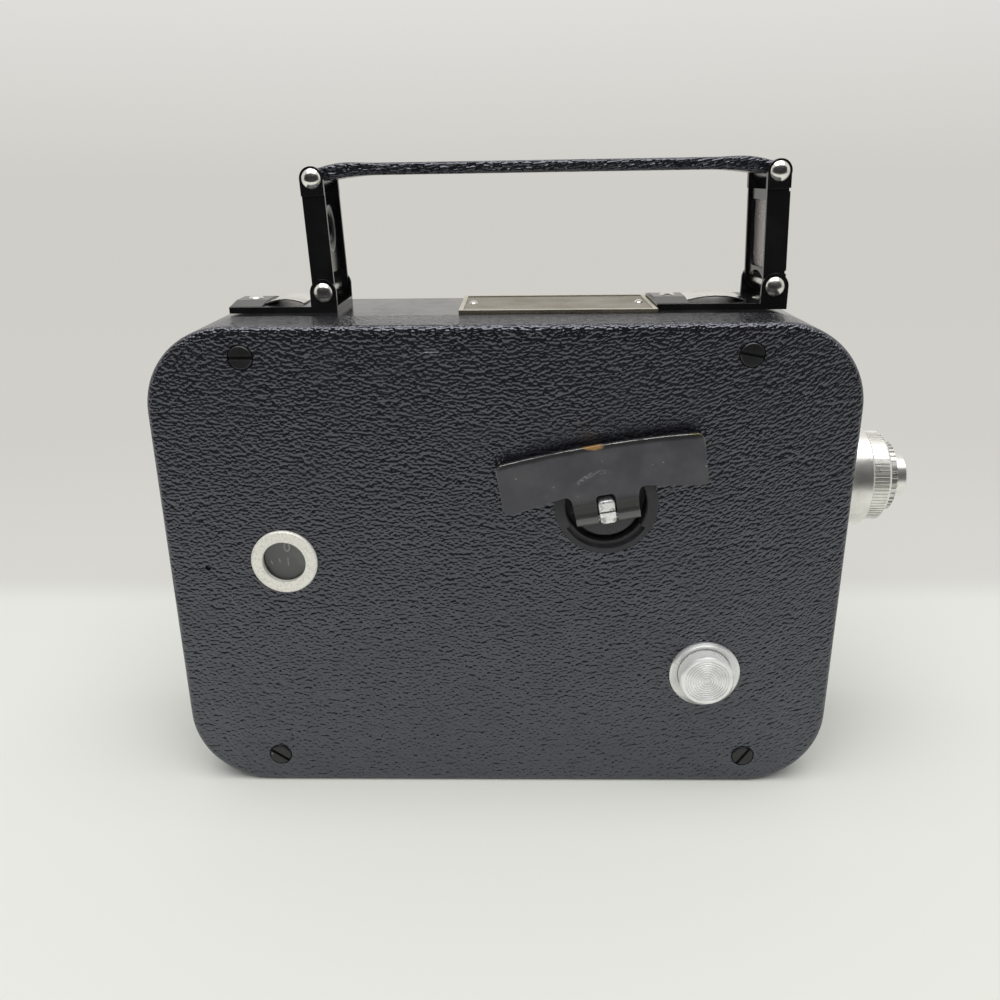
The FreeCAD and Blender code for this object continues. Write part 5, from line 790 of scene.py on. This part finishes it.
def make_light():
    data = bpy.data.lights.new("soft_overhead", "AREA")
    data.shape = "RECTANGLE"
    data.size, data.size_y = OVERHEAD_SIZE
    data.energy = OVERHEAD_WATTS
    light = bpy.data.objects.new("soft_overhead", data)
    bpy.context.scene.collection.objects.link(light)
    light.location = OVERHEAD_PLACE
    light.rotation_mode = "QUATERNION"
    light.rotation_quaternion = (OVERHEAD_TARGET - OVERHEAD_PLACE).to_track_quat("-Z", "Y")


# The footage dial: its centre, the face that its hub stands proud of, and the figures' spread.
DIAL_ANCHOR = joints["counter_turn"]["pos_m"]
DIAL_HUB = 0.4 * MM
DIAL_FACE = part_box("counter_dial")[0].y + DIAL_HUB
FIGURE_COUNT = 6
FIGURE_STEP = math.radians(48.0)
FIGURE_REACH = 15.3 * MM
FIGURE_HEIGHT = 3.6 * MM
UNITS_A_FIGURE = 5
TICK_REACH = (10.6 * MM, 12.6 * MM)
TICK_HALF = 0.16 * MM
INK_HEIGHT = 0.03 * MM


def place_on_dial(reach, turn, aside=0.0, lift=0.0):
    """A point of the dial's face, from its reach from the centre and its turn from the window."""
    angle = math.pi / 2 + turn
    x = DIAL_ANCHOR[0] + reach * math.cos(angle) + aside * math.sin(angle)
    z = DIAL_ANCHOR[2] + reach * math.sin(angle) - aside * math.cos(angle)
    return Vector((x, DIAL_FACE - lift, z))


def dial_figure(words, turn, ink):
    """A plain number as a thin mesh, upright where it passes the window."""
    curve = bpy.data.curves.new("figure_" + words, "FONT")
    curve.body = words
    curve.size = FIGURE_HEIGHT
    curve.align_x = "CENTER"
    curve.align_y = "CENTER"
    curve.extrude = INK_HEIGHT / 2
    draft = bpy.data.objects.new("figure_draft", curve)
    bpy.context.scene.collection.objects.link(draft)
    bpy.context.view_layer.update()
    mesh = bpy.data.meshes.new_from_object(draft.evaluated_get(bpy.context.evaluated_depsgraph_get()))
    bpy.data.objects.remove(draft)
    bpy.data.curves.remove(curve)
    stand = Matrix.Rotation(math.pi / 2, 4, "X")
    swing = Matrix.Rotation(-turn, 4, "Y")
    centre = place_on_dial(FIGURE_REACH, turn, lift=INK_HEIGHT / 2)
    mesh.transform(Matrix.Translation(centre) @ swing @ stand)
    mesh.materials.clear()
    mesh.materials.append(ink)
    mesh.name = "dial_figure_" + words
    figure = bpy.data.objects.new(mesh.name, mesh)
    bpy.context.scene.collection.objects.link(figure)
    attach(figure, "dial")


def dial_ticks(ink):
    """One short stroke for each unit of length, longer at the figures."""
    solid = bmesh.new()
    outer = TICK_REACH[1]
    for unit in range(UNITS_A_FIGURE * (FIGURE_COUNT - 1) + 1):
        turn = FIGURE_STEP * unit / UNITS_A_FIGURE
        inner = TICK_REACH[0] if unit % UNITS_A_FIGURE == 0 else sum(TICK_REACH) / 2
        corners = [(inner, -TICK_HALF), (outer, -TICK_HALF), (outer, TICK_HALF), (inner, TICK_HALF)]
        low = [solid.verts.new(place_on_dial(r, turn, a)) for r, a in corners]
        high = [solid.verts.new(place_on_dial(r, turn, a, INK_HEIGHT)) for r, a in corners]
        solid.faces.new(high)
        solid.faces.new(low[::-1])
        for i in range(len(corners)):
            j = (i + 1) % len(corners)
            solid.faces.new((low[i], low[j], high[j], high[i]))
    bmesh.ops.recalc_face_normals(solid, faces=solid.faces)
    mesh = bpy.data.meshes.new("dial_ticks")
    solid.to_mesh(mesh)
    solid.free()
    mesh.materials.append(ink)
    ticks = bpy.data.objects.new("dial_ticks", mesh)
    bpy.context.scene.collection.objects.link(ticks)
    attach(ticks, "dial")


def pressed_coil(node, finish):
    """A copy of a coil with its finish, fixed to the case in place of the CAD coil, which is hidden.
    """
    mesh = nodes[node].data.copy()
    mesh.name = node + "_coil"
    mesh.materials.clear()
    mesh.materials.append(finish)
    coil = bpy.data.objects.new(mesh.name, mesh)
    bpy.context.scene.collection.objects.link(coil)
    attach(coil, "case")
    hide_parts(node)
    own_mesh(coil)


# The colours of the finishes.
NICKEL = (0.86, 0.84, 0.79)
SATIN = (0.93, 0.91, 0.84)
DISH = (0.92, 0.92, 0.91)
LENS_NICKEL = (0.88, 0.87, 0.83)
STEEL = (0.46, 0.46, 0.465)
SPRING_STEEL = (0.50, 0.50, 0.51)
BRASS = (0.62, 0.45, 0.20)
ALUMINIUM = (0.92, 0.92, 0.915)
DARK_PLATING = (0.66, 0.655, 0.63)
CASE_BLACK = (0.014, 0.0135, 0.014)
GLOSS_BLACK = (0.006, 0.006, 0.0065)
SCREW_BLACK = (0.010, 0.010, 0.011)
CUP_BLACK = (0.023, 0.023, 0.026)
WORN_STEEL = (0.42, 0.40, 0.36)
WORN_BRASS = (0.55, 0.52, 0.46)
INSIDE_BLACK = (0.012, 0.012, 0.013)
# The dial is dark satin enamel; its lighter grey here is a painted sheen.
DIAL_SHEEN_GREY = (0.20, 0.195, 0.20)
INK = (0.62, 0.60, 0.56)
PLATE_DULL = (0.44, 0.40, 0.31)
PLATE_RUBBED = (0.72, 0.68, 0.58)
CELLULOID = (0.62, 0.57, 0.56)
COATED_GLASS = (0.86, 0.88, 0.96)

# How brushing scales the coordinates. The marks are drawn out along the axes whose scale is 1.
BRUSHED_ALONG_X = (1.0, 14.0, 14.0)
BRUSHED_ROUND_Y = (1.0, 14.0, 1.0)
FINE_CLOUDS = 2000.0

finishes = {
    "case_enamel": enamel("case_enamel", CASE_BLACK, rough=0.11),
    "gloss_enamel": enamel("gloss_enamel", GLOSS_BLACK, rough=0.12, wear=0.72, wear_colour=WORN_STEEL),
    "screw_enamel": enamel("screw_enamel", SCREW_BLACK, rough=0.22),
    "cup_enamel": enamel("cup_enamel", CUP_BLACK, rough=0.36, wear=0.60, wear_colour=WORN_BRASS),
    # The dial's grey is a painted sheen on dark enamel.
    "dial_sheen_grey": enamel("dial_sheen_grey", DIAL_SHEEN_GREY, rough=0.45),
    "dial_ink": flat_paint("dial_ink", INK, rough=0.6),
    "matt_black": flat_paint("matt_black", INSIDE_BLACK, rough=0.75),
    "cover_leather": leather("cover_leather", COVER_PEBBLES, COVER_RELIEF, BLACK_LEATHER, scratch=True),
    "strap_leather": leather("strap_leather", STRAP_PEBBLES, STRAP_RELIEF, STRAP_LEATHER),
    "worn_key": worn_key("worn_key"),
    "hub_and_post": hub_and_post("hub_and_post"),
    "sight_ring": rimmed_ring("sight_ring", "rear_sight_ring"),
    "bare_plate": grained_plate("bare_plate", PLATE_DULL, PLATE_RUBBED),
    "bright_nickel": metal("bright_nickel", NICKEL, rough=0.12),
    "satin_nickel": metal("satin_nickel", SATIN, rough=0.42, mottle=0.30, scratches=1.0, share=0.45,
                          clouds=FINE_CLOUDS),
    "dish_nickel": metal("dish_nickel", DISH, rough=0.26, share=0.75),
    "lens_nickel": metal("lens_nickel", LENS_NICKEL, rough=0.27, brushed=BRUSHED_ALONG_X, share=0.95),
    "dark_ring": metal("dark_ring", DARK_PLATING, rough=0.30),
    "plain_steel": metal("plain_steel", STEEL, rough=0.30, brushed=BRUSHED_ROUND_Y),
    "spring_steel": metal("spring_steel", SPRING_STEEL, rough=0.20),
    "plain_brass": metal("plain_brass", BRASS, rough=0.28, mottle=0.2),
    "plain_aluminium": metal("plain_aluminium", ALUMINIUM, rough=0.23, mottle=0.05, scratches=0.4, share=0.6),
    "clear_glass": glass("clear_glass", CLEAR_GLASS),
    "milky_glass": glass("milky_glass", CELLULOID, rough=0.25, clear=0.6),
    "lens_glass": glass("lens_glass", COATED_GLASS),
}

# Which pieces of the CAD model take each finish.
finish_nodes = {
    "case_enamel": ("main_frame", "mechanism_cover", "film_door"),
    "gloss_enamel": (
        "rear_hinge_base", "front_hinge_base", "clip_blocks", "rear_sight_frame",
        "front_sight_frame", "handle_core",
    ),
    "screw_enamel": ("cover_screws", "takeup_spool"),
    "cup_enamel": ("key_cup",),
    "worn_key": ("winding_key",),
    "hub_and_post": ("winding_arbor",),
    "cover_leather": ("cover_leather", "door_leather"),
    "strap_leather": ("handle_leather",),
    "bright_nickel": (
        "top_rivets", "leaf_springs", "lower_pivot_pins", "rear_upper_pin", "front_upper_pin",
        "door_latch",
    ),
    "satin_nickel": ("window_bezel",),
    "dish_nickel": ("button_bezel",),
    "lens_nickel": ("lens_flange", "lens_barrel", "focus_ring"),
    "plain_steel": (
        "key_hinge_pin", "ratchet_pawl", "lever_bracket", "takeup_spindle", "supply_spindle",
        "gate_plate", "pressure_plate", "latch_keepers",
    ),
    "spring_steel": ("button_spring", "mainspring", "claw", "pressure_spring"),
    "plain_brass": (
        "feeler_arm", "stop_lever", "movement_plate", "mainspring_barrel", "second_wheel",
        "third_wheel", "governor", "idler_gear", "pressure_bracket", "tripod_bush",
    ),
    "bare_plate": ("nameplate",),
    "sight_ring": ("rear_sight_ring",),
    "dial_sheen_grey": ("counter_dial",),
    "dark_ring": ("aperture_ring",),
    "plain_aluminium": ("release_button",),
    "matt_black": ("main_plate", "shutter"),
    "clear_glass": ("window_glass",),
    "milky_glass": ("front_sight_glass",),
    "lens_glass": ("lens_elements",),
}

bpy.context.scene.view_settings.view_transform = "Standard"
make_camera()
make_floor()
make_room_card()
make_world()
make_light()

for finish, names in finish_nodes.items():
    for name in names:
        for material_slot in nodes[name].material_slots:
            material_slot.material = finishes[finish]

for figure in range(FIGURE_COUNT):
    dial_figure(str(figure * UNITS_A_FIGURE), FIGURE_STEP * figure, finishes["dial_ink"])
dial_ticks(finishes["dial_ink"])
pressed_coil("button_spring", finishes["spring_steel"])
pressed_coil("pressure_spring", finishes["spring_steel"])
